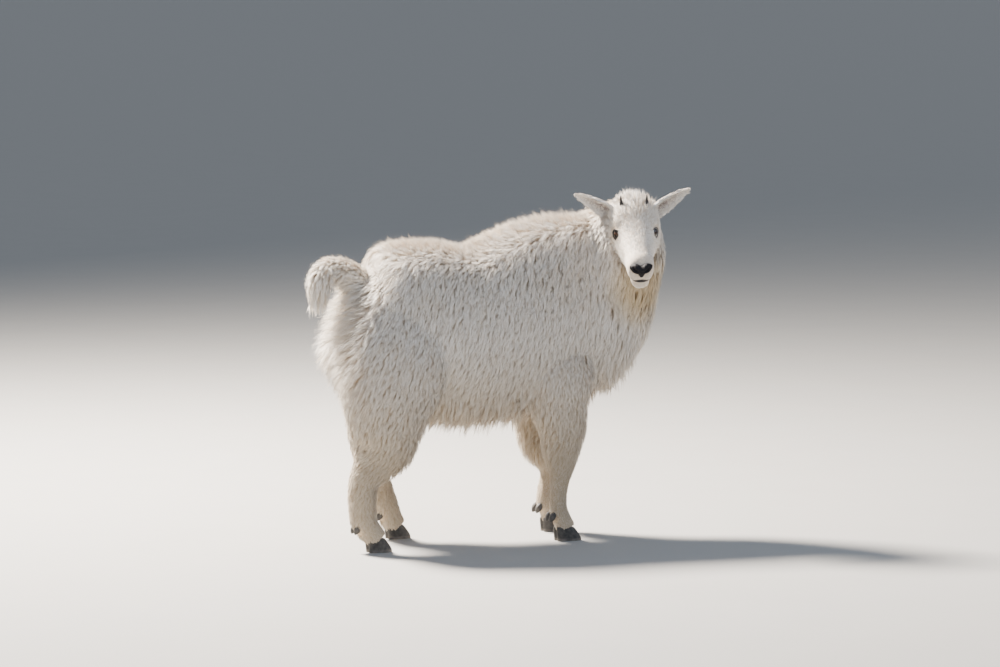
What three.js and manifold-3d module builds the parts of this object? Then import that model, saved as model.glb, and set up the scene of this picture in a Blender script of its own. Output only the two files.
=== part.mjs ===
// A mountain goat kid of about five months in its first winter coat, life size.
// It stands square on four hooves and looks round over its right shoulder.
// Millimetres. +X is towards the chest, +Y the animal's left, +Z up, and the floor is z 0.

import * as THREE from 'three';
import { LoftGeometry } from 'three/addons/geometries/LoftGeometry.js';
import { mergeVertices } from 'three/addons/utils/BufferGeometryUtils.js';
import Module from 'manifold-3d';

const wasm = await Module();
wasm.setup();

// Clearance between neighbouring nodes.
const GAP = 0.3;

// How far the solid core of the coat reaches from the skin towards the tips of the locks.
const CORE_SHARE = 0.45;

// Where the feet stand: distance forward of the origin, and from the middle plane.
const FORE_FOOT = { right: 118, left: 143, track: 61 };
const HIND_FOOT = { right: -238, left: -148, track: 74 };
const HOOF_HEIGHT = 22;

// The head's own frame has its origin midway between the eyes, +X along the nose, +Y to its left.
const HEAD_PLACE = new THREE.Vector3(235, -94, 538);
const HEAD_YAW = THREE.MathUtils.degToRad(-108);
const HEAD_PITCH = THREE.MathUtils.degToRad(29);
const HEAD_ROLL = THREE.MathUtils.degToRad(3);
const HEAD = new THREE.Matrix4()
  .makeRotationFromEuler(new THREE.Euler(HEAD_ROLL, HEAD_PITCH, HEAD_YAW, 'ZYX'))
  .setPosition(HEAD_PLACE);

const EYE = { forward: 2, out: 26.5, up: 0, radius: 12 };
const EAR_LENGTH = 76;
const HORN_LENGTH = 17;
const NOSE = { forward: 110, up: -3, deep: 9, wide: 19, high: 11.5 };
const MOUTH_HEIGHT = -30.5;

const UP = new THREE.Vector3(0, 0, 1);
const LEFT = new THREE.Vector3(0, 1, 0);

// Skin stations: place of the centre line, half width, half depth, narrowing of the top,
// and the coat's depth over the top (or front), the side and the underside (or back).
const station = (x, y, z, wide, deep, coat, pinch = 0) => ({
  at: new THREE.Vector3(x, y, z), wide, deep, coat, pinch,
});

const TORSO = [
  station(-268, 0, 400, 14, 18, [20, 18, 18], 0),
  station(-261, 0, 397, 33, 42, [26, 22, 22], 0.05),
  station(-247, 0, 390, 54, 72, [30, 24, 22], 0.1),
  station(-225, 0, 383, 70, 98, [34, 24, 22], 0.12),
  station(-188, 0, 380, 81, 118, [36, 24, 24], 0.15),
  station(-125, 0, 374, 86, 129, [32, 24, 28], 0.15),
  station(-50, 0, 366, 88, 130, [26, 24, 32], 0.12),
  station(20, 0, 373, 86, 135, [34, 24, 30], 0.18),
  station(80, 0, 386, 81, 139, [40, 24, 26], 0.28),
  station(130, 0, 397, 74, 136, [43, 25, 26], 0.34),
  station(180, 0, 399, 67, 130, [44, 26, 30], 0.32),
  station(221, 0, 394, 54, 104, [40, 28, 32], 0.2),
  station(244, 0, 388, 32, 66, [34, 28, 34], 0.1),
];

const NECK = [
  station(118, 0, 345, 62, 110, [30, 22, 30], 0.3),
  station(152, 0, 392, 64, 116, [36, 24, 32], 0.3),
  station(187, 0, 436, 60, 104, [42, 26, 34], 0.28),
  station(216, -8, 476, 54, 82, [42, 28, 34], 0.2),
  station(240, -27, 511, 47, 64, [28, 26, 32], 0.12),
  station(252, -50, 534, 43, 54, [20, 20, 26], 0.05),
  station(259, -68, 546, 30, 38, [14, 12, 18], 0.05),
];

const TAIL = [
  station(-236, 0, 452, 15, 15, [14, 14, 12]),
  station(-266, 0, 474, 12, 11, [15, 16, 12]),
  station(-296, 0, 478, 10, 9, [17, 18, 13]),
  station(-314, 0, 458, 8, 8, [18, 18, 14]),
  station(-316, 0, 430, 4, 4, [12, 14, 12]),
];

// Head stations are in the head's own frame.
const SKULL = [
  [-76, -14, 16, 14], [-66, -12, 29, 28], [-44, -12, 37, 42], [-18, -13, 40, 46], [4, -14, 34.5, 44],
  [26, -14, 30, 39], [50, -13, 26, 34], [76, -12, 23.5, 29], [95, -11, 23, 26], [107, -10, 21.5, 22.5],
  [114, -9, 15, 15],
];
const CHIN = [
  [10, -42, 20, 20], [45, -40, 17, 16], [72, -38, 16, 13], [92, -37, 16, 12], [101, -36, 12.5, 9.5],
];
const inHead = ([x, z, wide, deep], coat) => {
  const made = station(x, 0, z, wide, deep, coat);
  made.at.applyMatrix4(HEAD);
  return made;
};

// Leg stations: forward of the foot, out from its track, height, half width, half depth.
const FORELEG = {
  right: [
    [-2, -24, 345, 28, 46], [-8, -2, 280, 32, 46], [-8, 0, 238, 26, 36], [-3, 0, 200, 22, 28],
    [-4, 0, 160, 17, 20], [-8, 0, 122, 15, 15.5], [-12, 1, 100, 11.5, 12.5], [-14, 1, 72, 10.5, 11],
    [-13, 1, 52, 12.5, 13], [-6, 0, 36, 13, 13.5], [0, 0, HOOF_HEIGHT + GAP, 14.5, 17],
  ],
  left: [
    [-26, -24, 345, 28, 46], [-28, -2, 280, 32, 46], [-28, 0, 238, 26, 36], [-24, 0, 200, 22, 29],
    [-20, 0, 160, 17, 22], [-5, 0, 122, 15, 15.5], [-4, 1, 100, 11.5, 12.5], [-12, 1, 72, 10.5, 11],
    [-12, 1, 52, 12.5, 13], [-6, 0, 36, 13, 13.5], [0, 0, HOOF_HEIGHT + GAP, 14.5, 17],
  ],
};
const FORE_COAT = [
  [14, 12, 22], [14, 12, 24], [14, 14, 26], [16, 13, 24], [13, 11, 24], [6, 6, 10], [5, 5, 7], [5, 5, 6],
  [4, 4, 6], [4, 4, 5], [2, 2, 2],
];
const HIND_COAT = [
  [14, 20, 20], [14, 20, 22], [18, 20, 24], [20, 18, 24], [18, 16, 24], [14, 12, 16], [12, 11, 13],
  [12, 11, 13], [11, 10, 12], [8, 7, 10], [6, 5, 8], [2, 2, 2],
];
const HINDLEG = {
  right: [
    [73, -36, 408, 32, 70], [48, -14, 330, 44, 80], [30, -6, 270, 40, 67], [19, -2, 215, 32, 50],
    [13, 0, 180, 24, 41], [-5, 1, 150, 16, 27], [-19, 1, 130, 13.5, 19], [-26, 1, 105, 12.5, 16],
    [-26, 1, 70, 12.5, 15], [-22, 1, 48, 13.5, 16], [-9, 0, 34, 13.5, 15], [0, 0, HOOF_HEIGHT + GAP, 15, 17.5],
  ],
  left: [
    [-7, -36, 412, 32, 66], [-20, -14, 338, 44, 70], [-22, -6, 284, 40, 62], [-31, -3, 236, 32, 43],
    [-38, -2, 204, 24, 35], [-50, -2, 174, 16, 25], [-52, -3, 152, 13.5, 18], [-42, -3, 116, 12.5, 16],
    [-28, -3, 78, 12.5, 15], [-17, -3, 50, 13.5, 16], [-8, -1, 34, 13.5, 15], [0, 0, HOOF_HEIGHT + GAP, 15, 17.5],
  ],
};

// A small repeatable random number generator, 0 to 1.
function seeded(seed) {
  let state = seed;
  return () => {
    state = (state + 0x6d2b79f5) | 0;
    let t = Math.imul(state ^ (state >>> 15), 1 | state);
    t = (t + Math.imul(t ^ (t >>> 7), 61 | t)) ^ t;
    return ((t ^ (t >>> 14)) >>> 0) / 4294967296;
  };
}

// A limb, trunk or head: rounded sections along a smooth centre line.
class Limb {
  constructor(stations, { side = null, columns = 16, rows = 2, square = 2.2 } = {}) {
    this.side = side;
    this.columns = columns;
    this.rows = rows;
    this.square = square;
    this.spans = stations.length - 1;
    const curve = (points) => new THREE.CatmullRomCurve3(points, false, 'catmullrom', 0.5);
    this.path = curve(stations.map((s) => s.at));
    this.sizes = curve(stations.map((s) => new THREE.Vector3(s.wide, s.deep, s.pinch)));
    this.coats = curve(stations.map((s) => new THREE.Vector3(...s.coat)));
  }

  // The section's axes at t: across runs to the left, raise to the top or front.
  axes(t) {
    const along = this.path.getTangent(t);
    const across = this.side
      ? this.side.clone().addScaledVector(along, -this.side.dot(along)).normalize()
      : new THREE.Vector3().crossVectors(UP, along).normalize();
    return { along, across, raise: new THREE.Vector3().crossVectors(along, across) };
  }

  coat(t, angle) {
    const depth = this.coats.getPoint(t);
    const rise = Math.sin(angle);
    return depth.y * (1 - rise * rise) + (rise > 0 ? depth.x : depth.z) * rise * rise;
  }

  // A point at a share of the coat's depth above the skin, and grow millimetres further out.
  point(t, angle, share = CORE_SHARE, grow = 0) {
    const { across, raise } = this.axes(t);
    const size = this.sizes.getPoint(t);
    const out = this.coat(t, angle) * share + grow;
    const bulge = (v) => Math.sign(v) * Math.abs(v) ** (2 / this.square);
    const rise = Math.sin(angle);
    const narrow = 1 - size.z * Math.max(0, rise);
    return this.path.getPoint(t)
      .addScaledVector(across, (size.x + out) * bulge(Math.cos(angle)) * narrow)
      .addScaledVector(raise, (size.y + out) * bulge(rise));
  }

  normal(t, angle) {
    const step = 0.01;
    const ahead = this.point(Math.min(1, t + step), angle).sub(this.point(Math.max(0, t - step), angle));
    const around = this.point(t, angle + step).sub(this.point(t, angle - step));
    return around.cross(ahead).normalize();
  }

  geometry({ from = 0, to = 1, share = CORE_SHARE, grow = 0 } = {}) {
    const steps = Math.max(2, Math.round(this.spans * this.rows * (to - from)));
    const sections = [];
    for (let i = 0; i <= steps; i++) {
      const t = from + ((to - from) * i) / steps;
      const further = this.axes(t).along.multiplyScalar(i === 0 ? -grow : i === steps ? grow : 0);
      const ring = [];
      for (let j = 0; j < this.columns; j++) {
        ring.push(this.point(t, (2 * Math.PI * (j + 0.5)) / this.columns, share, grow).add(further));
      }
      sections.push(ring);
    }
    return new LoftGeometry(sections, { capStart: true, capEnd: true });
  }

  // Whether a point lies inside the skin with a share of its coat.
  holds(p, share = CORE_SHARE) {
    const samples = this.spans * 4;
    for (let i = 0; i <= samples; i++) {
      const t = i / samples;
      const { along, across, raise } = this.axes(t);
      const away = p.clone().sub(this.path.getPoint(t));
      if (Math.abs(away.dot(along)) > (0.6 * this.path.getLength()) / samples) continue;
      const size = this.sizes.getPoint(t);
      const x = away.dot(across);
      const y = away.dot(raise);
      const out = this.coat(t, Math.atan2(y / size.y, x / size.x)) * share;
      if ((x / (size.x + out)) ** 2 + (y / (size.y + out)) ** 2 < 1) return true;
    }
    return false;
  }

  // One step over the surface in the direction of lie.
  step(place, lie, distance) {
    const e = 0.005;
    const here = this.point(place.t, place.angle);
    const ahead = this.point(Math.min(1, place.t + e), place.angle)
      .sub(this.point(Math.max(0, place.t - e), place.angle)).divideScalar(2 * e);
    const around = this.point(place.t, place.angle + e).sub(here).divideScalar(e);
    const along = lie.clone().projectOnPlane(this.normal(place.t, place.angle)).setLength(distance);
    const aa = ahead.dot(ahead);
    const ar = ahead.dot(around);
    const rr = around.dot(around);
    const la = along.dot(ahead);
    const lr = along.dot(around);
    const det = aa * rr - ar * ar || 1;
    return {
      t: place.t + (la * rr - lr * ar) / det,
      angle: place.angle + (lr * aa - la * ar) / det,
    };
  }
}

// A closed geometry as a solid.
function solid(geometry) {
  const bare = new THREE.BufferGeometry().setIndex(geometry.index);
  bare.setAttribute('position', geometry.getAttribute('position'));
  const merged = mergeVertices(bare, 1e-4);
  const made = new wasm.Manifold(new wasm.Mesh({
    numProp: 3,
    vertProperties: merged.attributes.position.array,
    triVerts: new Uint32Array(merged.index.array),
  }));
  if (made.volume() > 0) return made;
  const turned = Uint32Array.from(merged.index.array);
  for (let i = 0; i < turned.length; i += 3) [turned[i + 1], turned[i + 2]] = [turned[i + 2], turned[i + 1]];
  return new wasm.Manifold(new wasm.Mesh({
    numProp: 3,
    vertProperties: merged.attributes.position.array,
    triVerts: turned,
  }));
}

// The largest body of a shape, once its numbers are rounded to the 32 bits that a mesh holds.
function largest(made) {
  const bodies = new wasm.Manifold(made.getMesh()).decompose();
  return bodies.reduce((a, b) => (a.volume() > b.volume() ? a : b));
}

// The place and axes of each section of a lock, which bends in the plane of its root's way and normal.
function frames(spine, normal) {
  const last = spine.length - 1;
  const across = normal.clone().cross(spine[last].clone().sub(spine[0])).normalize();
  const flat = spine.map((p) => p.clone().sub(spine[0]).projectOnPlane(across).add(spine[0]));
  return flat.map((at, i) => {
    const along = flat[Math.min(last, i + 1)].clone().sub(flat[Math.max(0, i - 1)]).normalize();
    return { at, along, out: new THREE.Vector3().crossVectors(along, across), across };
  });
}

// Whether a lock turns back on itself, or leaves its surface.
function folds(made, reach) {
  return made.slice(1).some((frame, i) =>
    frame.along.dot(made[i].along) < 0.7 || frame.at.distanceTo(made[i].at) < reach / 8);
}

// A three-sided, flat, tapered lock of hair, with its ridge outwards.
// Its sharp side edges move out by several times grow, so that its faces move out by grow.
function lock(made, width, thick, grow) {
  const taper = [0.72, 1, 0.72, 0.08];
  const further = [-2 * grow, 0, 0, 2 * grow];
  const sections = made.map(({ at, along, out, across }, i) => {
    const side = (width / 2) * taper[i] + 12 * grow;
    const high = thick * Math.sqrt(taper[i]);
    const centre = at.clone().addScaledVector(along, further[i]);
    return [
      centre.clone().addScaledVector(across, -side).addScaledVector(out, -high / 3 - 2.5 * grow),
      centre.clone().addScaledVector(across, side).addScaledVector(out, -high / 3 - 2.5 * grow),
      centre.clone().addScaledVector(out, (2 * high) / 3 + 2.5 * grow),
    ];
  });
  return solid(new LoftGeometry(sections, { capStart: true, capEnd: true }));
}

// Shares of the coat's depth that a lock's spine passes on its way from root to tip.
const RISE = [0.12, 0.6, 0.84, 1.0];

// The spine of a lock over a limb's surface. It goes straight on where the surface ends or turns sharply.
function spineOver(limb, root, way, reach) {
  const spine = [limb.point(root.t, root.angle, RISE[0])];
  const normals = [limb.normal(root.t, root.angle)];
  let place = root;
  for (let k = 1; k < RISE.length; k++) {
    const before = normals[k - 1];
    const on = way.clone().projectOnPlane(before).setLength(reach / 3).add(spine[k - 1]);
    const next = limb.step(place, way, reach / 3);
    const smooth = next.t >= 0 && next.t <= 1
      && limb.point(next.t, next.angle, RISE[k - 1]).distanceTo(on) < reach / 4
      && limb.normal(next.t, next.angle).angleTo(before) < 0.6;
    if (smooth) place = next;
    spine.push(smooth ? limb.point(next.t, next.angle, RISE[k]) : on);
    normals.push(smooth ? limb.normal(next.t, next.angle) : before);
  }
  return frames(spine, normals[0]);
}

// The angle at each share of the way round a limb's surface at t, and the length of that way.
function wayRound(limb, t) {
  const fine = 72;
  const ring = Array.from({ length: fine + 1 }, (_, i) => limb.point(t, (2 * Math.PI * i) / fine));
  const run = [0];
  for (let i = 1; i <= fine; i++) run.push(run[i - 1] + ring[i].distanceTo(ring[i - 1]));
  const length = run[fine];
  const angle = (share) => {
    const goal = (share - Math.floor(share)) * length;
    const i = run.findIndex((r) => r > goal);
    return (2 * Math.PI * (i - 1 + (goal - run[i - 1]) / (run[i] - run[i - 1]))) / fine;
  };
  return { length, angle };
}

// The t at each share of the way along a limb between two places, and the length of that way.
function wayAlong(limb, from, to) {
  const fine = 200;
  const run = limb.path.getLengths(fine);
  const start = run[Math.round(from * fine)];
  const length = run[Math.round(to * fine)] - start;
  return { length, t: (share) => run.findIndex((r) => r >= start + share * length) / fine };
}

// Rows of locks over a limb, between two places along it.
function locks(limb, style, seed, grow) {
  const random = seeded(seed);
  const { from, to, row, column, length, thick, lie, skip = () => false } = style;
  const way = wayAlong(limb, from, to);
  const rows = Math.max(1, Math.round(way.length / row));
  const found = [];
  for (let i = 0; i < rows; i++) {
    const round = wayRound(limb, way.t((i + 0.5) / rows));
    const count = Math.max(4, Math.round(round.length / column));
    for (let j = 0; j < count; j++) {
      const place = {
        t: way.t((i + 0.5 + 0.3 * (random() - 0.5)) / rows),
        angle: round.angle((j + (i % 2 ? 0.5 : 0) + 0.3 * (random() - 0.5)) / count),
      };
      const reach = length * (0.85 + 0.3 * random());
      const wide = (round.length / count) * (0.92 + 0.14 * random());
      const root = limb.point(place.t, place.angle);
      const normal = limb.normal(place.t, place.angle);
      const made = spineOver(limb, place, lie(root, normal, limb.axes(place.t)), reach);
      const tip = made[made.length - 1];
      if (skip(root, normal) || skip(tip.at, tip.out) || folds(made, reach)) continue;
      found.push(lock(made, wide, thick, grow));
    }
  }
  return found;
}

const torso = new Limb(TORSO, { side: LEFT, columns: 18, rows: 1 });
const neck = new Limb(NECK, { columns: 16, rows: 2 });
const tail = new Limb(TAIL, { side: LEFT.clone().negate(), columns: 8, rows: 1 });
const headLeft = new THREE.Vector3().setFromMatrixColumn(HEAD, 1);
const FACE_COAT = [[20, 10, 12], [28, 10, 14], [30, 9, 14], [16, 7, 12], [5, 4, 8], [4, 3, 6], [3, 2.5, 4],
  [2.5, 2, 3], [2, 2, 2], [1.5, 1.5, 1.5], [1, 1, 1]];
const skull = new Limb(SKULL.map((s, i) => inHead(s, FACE_COAT[i])), { side: headLeft, columns: 16, rows: 1.4 });
const chin = new Limb(CHIN.map((s) => inHead(s, [1, 1.5, 3])), { side: headLeft, columns: 10, rows: 1.5 });

function leg(rows, coats, forward, track) {
  const out = Math.sign(track);
  const stations = rows.map(([x, y, z, wide, deep], i) =>
    station(forward + x, track + out * y, z, wide, deep, coats[i]));
  return new Limb(stations, { side: LEFT, columns: 12, rows: 1 });
}

const legs = {
  foreleg_right: leg(FORELEG.right, FORE_COAT, FORE_FOOT.right, -FORE_FOOT.track),
  foreleg_left: leg(FORELEG.left, FORE_COAT, FORE_FOOT.left, FORE_FOOT.track),
  hindleg_right: leg(HINDLEG.right, HIND_COAT, HIND_FOOT.right, -HIND_FOOT.track),
  hindleg_left: leg(HINDLEG.left, HIND_COAT, HIND_FOOT.left, HIND_FOOT.track),
};

// Where each leg is parted, just below the carpus or the hock, as a share of its length.
const LEG_CUT = { fore: 5.4 / 10, hind: 5.5 / 11 };
const legCut = (name) => (name.startsWith('fore') ? LEG_CUT.fore : LEG_CUT.hind);

const vec = (x, y, z) => new THREE.Vector3(x, y, z);

// The lie of the coat: back along the ridge, down and back over the sides, back under the belly.
const bodyLie = (p, n) => {
  const top = THREE.MathUtils.smoothstep(n.z, 0.5, 0.95);
  return vec(-0.45 - 0.5 * top, 0, -0.9 + top + 0.5 * Math.max(0, -n.z));
};
const limbLie = (back) => (p, n, { along }) => along.clone().add(vec(-back, 0, 0));
const inLegs = (p, share) => Object.values(legs).some((limb) => limb.holds(p, share));

const styles = {
  torso: {
    from: 0.06, to: 0.94, row: 80, column: 74, length: 108, thick: 8, lie: bodyLie,
    skip: (p, n) => inLegs(p, 0.45) || neck.holds(p, 0.3) || n.z > 0.86 || (n.z < -0.6 && p.x > 110),
  },
  rump: {
    from: 0.01, to: 0.16, row: 40, column: 68, length: 84, thick: 8, lie: () => vec(-0.1, 0, -1),
    skip: (p, n) => n.x > -0.4 || inLegs(p, 0.45),
  },
  ridge: {
    from: 0.06, to: 0.95, row: 58, column: 52, length: 74, thick: 7, lie: () => vec(-1, 0, 0.3),
    skip: (p, n) => n.z < 0.4 || Math.abs(p.y) > 40 || neck.holds(p, 0.2) || tail.holds(p, 0.2),
  },
  neck: {
    from: 0.02, to: 0.93, row: 62, column: 58, length: 88, thick: 8,
    lie: (p, n) => (n.z > 0.7 ? vec(-1, 0, 0.1) : vec(-0.35, 0, -0.95)),
    skip: (p, n) => torso.holds(p, 0.3) || skull.holds(p, 0.3) || inLegs(p, 0.45) || n.z > 0.8,
  },
  crest: {
    from: 0.02, to: 0.8, row: 38, column: 40, length: 58, thick: 7, lie: () => vec(-1, 0, 0.3),
    skip: (p, n) => n.z < 0.6 || torso.holds(p, 0.2) || skull.holds(p, 0.3),
  },
  tail: {
    from: 0.2, to: 0.97, row: 40, column: 44, length: 56, thick: 5, lie: limbLie(0),
    skip: (p) => torso.holds(p, 0.6),
  },
  head: {
    from: 0, to: 0.34, row: 27, column: 30, length: 44, thick: 5,
    lie: (p, n, { along }) => along.clone().negate().add(vec(0, 0, n.z > 0.5 ? 0.6 : -0.5)),
    skip: (p) => neck.holds(p, 0.35),
  },
  hindleg: {
    from: 0, to: 0.4, row: 76, column: 70, length: 94, thick: 8, lie: limbLie(0.3),
    skip: (p) => torso.holds(p, 0.45),
  },
  foreleg: {
    from: 0, to: 0.42, row: 62, column: 56, length: 76, thick: 6, lie: limbLie(0.25),
    skip: (p) => torso.holds(p, 0.45),
  },
};

const SEEDS = {
  torso: 11, neck: 27, tail: 31, head: 37, foreleg_right: 41, foreleg_left: 43, hindleg_right: 47, hindleg_left: 53,
};
const LOWER_LEG_SHARE = 0.9;

// A core with its coat of locks, as one solid.
function coated(limb, name, coats, options, grow) {
  const core = solid(limb.geometry({ ...options, grow }));
  const hair = coats.flatMap((coat, i) => locks(limb, coat, SEEDS[name] + i, grow));
  return largest(wasm.Manifold.union([core, ...hair]));
}

// A hoof claw, flat under its sole and pointed at the toe. inward is +1 where its inner side is +Y.
function claw(x, y, length, width) {
  const levels = [[0, 1, 0], [7, 0.98, -1], [15, 0.88, -4], [HOOF_HEIGHT, 0.76, -7]];
  const sections = levels.map(([z, scale, back]) => Array.from({ length: 8 }, (_, i) => {
    const angle = (2 * Math.PI * i) / 8;
    const point = Math.max(0, Math.cos(angle));
    return vec(
      x + back + (length / 2) * scale * Math.cos(angle),
      y + (width / 2) * Math.sqrt(scale) * Math.sin(angle) * (1 - 0.35 * point * point),
      z,
    );
  }));
  return solid(new LoftGeometry(sections, { capStart: true, capEnd: true }));
}

function ellipsoid(place, rx, ry, rz, turn = null, [across, down] = [10, 7]) {
  const shape = new THREE.SphereGeometry(1, across, down).scale(rx, ry, rz);
  if (turn) shape.applyMatrix4(new THREE.Matrix4().makeRotationFromEuler(turn));
  return shape.translate(place.x, place.y, place.z);
}

// An ear: a leaf whose sections are cupped, growing out, up and a little back from the head.
function ear(side) {
  const base = vec(-36, side * 31, 8);
  const along = vec(-0.3, side * 0.83, 0.53).normalize();
  const open = vec(0.9, side * 0.25, -0.15).projectOnPlane(along).normalize();
  const across = new THREE.Vector3().crossVectors(open, along);
  const outline = new THREE.CatmullRomCurve3([
    vec(0, 12, 7), vec(0.12, 16, 9), vec(0.35, 17.5, 9.5), vec(0.6, 13.5, 6.5), vec(0.82, 8.5, 3.5),
    vec(0.96, 4.5, 1.5), vec(1, 2.2, 0.6),
  ], false, 'catmullrom', 0.5);
  const wall = 1.2;
  const sections = [];
  for (let i = 0; i <= 9; i++) {
    const o = outline.getPoint(i / 9);
    const centre = base.clone().addScaledVector(along, o.x * (EAR_LENGTH + 8))
      .add(vec(0, 0, -7 * o.x ** 3));
    const edge = (v, lift, shrink) => centre.clone()
      .addScaledVector(across, o.y * v * shrink)
      .addScaledVector(open, -o.z * (1 - v * v) + lift);
    const ring = [];
    for (let k = 0; k <= 5; k++) ring.push(edge(-1 + k / 2.5, -wall, 1));
    for (let k = 5; k >= 0; k--) ring.push(edge((-1 + k / 2.5) * 0.9, wall, 0.94));
    sections.push(ring);
  }
  return solid(new LoftGeometry(sections, { capStart: true, capEnd: true }).applyMatrix4(HEAD));
}

function horn(side) {
  const at = (x, y, z, r) => {
    const made = station(x, side * y, z, r, r, [0, 0, 0]);
    made.at.applyMatrix4(HEAD);
    return made;
  };
  const limb = new Limb([
    at(-26, 21, 22, 5), at(-28, 21.8, 31, 4.2), at(-31, 22.3, 33 + HORN_LENGTH * 0.5, 2.7),
    at(-36, 23, 34 + HORN_LENGTH, 0.8),
  ], { side: headLeft, columns: 8, rows: 2, square: 2 });
  return solid(limb.geometry());
}

const eyePlace = (side) => vec(EYE.forward, side * EYE.out, EYE.up).applyMatrix4(HEAD);
const eyeball = (side, grow = 0) => solid(ellipsoid(eyePlace(side), EYE.radius + grow, EYE.radius + grow,
  EYE.radius + grow));

// Upper and lower lid as one ring round the eyeball, longer than it is high.
function lids(side) {
  const ring = new THREE.TorusGeometry(10.6, 2.6, 5, 12).scale(1.12, 0.86, 1);
  const look = vec(0.5, side * 0.85, 0.08).normalize();
  const turn = new THREE.Matrix4().lookAt(look, new THREE.Vector3(), UP);
  ring.applyMatrix4(turn).translate(EYE.forward + look.x * 7, side * EYE.out + look.y * 7, EYE.up + look.z * 7);
  return solid(ring.applyMatrix4(HEAD));
}

// A thin slot round the muzzle's surface, which makes the line of the mouth.
function mouthLine() {
  const depth = 3.5;
  const slab = new THREE.BoxGeometry(52, 70, 1.4).rotateY(0.06).translate(98, 0, MOUTH_HEIGHT).applyMatrix4(HEAD);
  return solid(slab).subtract(solid(skull.geometry({ grow: -depth })));
}

function noseShape(grow = 0) {
  const place = vec(NOSE.forward, 0, NOSE.up);
  return solid(ellipsoid(place, NOSE.deep + grow, NOSE.wide + grow, NOSE.high + grow, new THREE.Euler(0, 0.15, 0))
    .applyMatrix4(HEAD));
}

function nostril(side) {
  const place = vec(NOSE.forward + 7, side * 9.8, NOSE.up + 1.5);
  return solid(ellipsoid(place, 6, 5, 3.2, new THREE.Euler(side * 0.5, 0, side * 0.5), [8, 5]).applyMatrix4(HEAD));
}

const solids = new Map();
const grown = [];

// Adds a node, cut clear of the nodes before it, and keeps its grown shape to cut those after it.
function add(name, make) {
  let made = make(0);
  for (const other of grown) made = made.subtract(other);
  solids.set(name, largest(made));
  grown.push(make(GAP));
}

add('eye_right', (grow) => eyeball(-1, grow));
add('eye_left', (grow) => eyeball(1, grow));
add('nose', (grow) => (grow ? noseShape(grow) : noseShape().subtract(nostril(-1)).subtract(nostril(1))));
add('head', (grow) => wasm.Manifold.union([
  coated(skull, 'head', [styles.head], {}, grow), solid(chin.geometry({ grow })), lids(-1), lids(1),
]).subtract(mouthLine()));
for (const [side, word] of [[-1, 'right'], [1, 'left']]) {
  add(`ear_${word}`, () => ear(side));
  add(`horn_${word}`, () => horn(side));
}
add('neck', (grow) => coated(neck, 'neck', [styles.neck, styles.crest], {}, grow));
add('tail', (grow) => coated(tail, 'tail', [styles.tail], {}, grow));
add('torso', (grow) => coated(torso, 'torso', [styles.torso, styles.ridge, styles.rump], {}, grow));
for (const [name, limb] of Object.entries(legs)) {
  const style = name.startsWith('fore') ? styles.foreleg : styles.hindleg;
  add(`${name}_upper`, (grow) => coated(limb, name, [style], { to: legCut(name) }, grow));
  add(`${name}_lower`, (grow) => solid(limb.geometry({ from: legCut(name), share: LOWER_LEG_SHARE, grow })));
}

// Two claws and two dewclaws under each leg.
for (const [leg, feet, length] of [['foreleg', FORE_FOOT, 45], ['hindleg', HIND_FOOT, 42]]) {
  for (const [side, word] of [[-1, 'right'], [1, 'left']]) {
    for (const [toe, where] of [[-1, 'inner'], [1, 'outer']]) {
      const y = side * (feet.track + toe * 7.4);
      add(`${leg}_${word}_claw_${where}`, () => claw(feet[word] + 4, y, length, 14));
      const heel = legs[`${leg}_${word}`].path.getPoint(0.83);
      add(`${leg}_${word}_dewclaw_${where}`, () => solid(ellipsoid(
        vec(heel.x - 17, heel.y + side * toe * 8.5, heel.z - 4), 6, 5, 10, new THREE.Euler(0, 0.5, 0), [6, 5],
      )));
    }
  }
}

// Colours and surfaces.
const coatMaterial = new THREE.MeshStandardMaterial({ color: 0xf1eee6, roughness: 0.9 });
const hornMaterial = new THREE.MeshStandardMaterial({ color: 0x2b2724, roughness: 0.5 });
const eyeMaterial = new THREE.MeshStandardMaterial({ color: 0x20140d, roughness: 0.08 });
const noseMaterial = new THREE.MeshStandardMaterial({ color: 0x17161a, roughness: 0.35 });

function materialOf(name) {
  if (name.startsWith('eye')) return eyeMaterial;
  if (name === 'nose') return noseMaterial;
  return /horn|claw/.test(name) ? hornMaterial : coatMaterial;
}

const goat = new THREE.Group();
for (const [name, made] of solids) {
  const { vertProperties, triVerts } = made.getMesh();
  const geometry = new THREE.BufferGeometry();
  geometry.setAttribute('position', new THREE.BufferAttribute(vertProperties, 3));
  geometry.setIndex(new THREE.BufferAttribute(triVerts, 1));
  geometry.computeVertexNormals();
  const mesh = new THREE.Mesh(geometry, materialOf(name));
  mesh.name = name;
  goat.add(mesh);
}

// The origin is on the floor under the middle of the whole figure.
const box = new THREE.Box3().setFromObject(goat);
goat.position.set(-(box.min.x + box.max.x) / 2, -(box.min.y + box.max.y) / 2, -box.min.z);

export default goat;
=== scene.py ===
"""A mountain goat kid in its first winter coat: skin, coat, face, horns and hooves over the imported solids."""

import math

import bmesh
import bpy
import numpy as np
from bpy.props import FloatProperty, FloatVectorProperty, IntProperty, PointerProperty
from mathutils import Matrix, Vector
from mathutils.bvhtree import BVHTree
from mathutils.kdtree import KDTree

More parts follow.
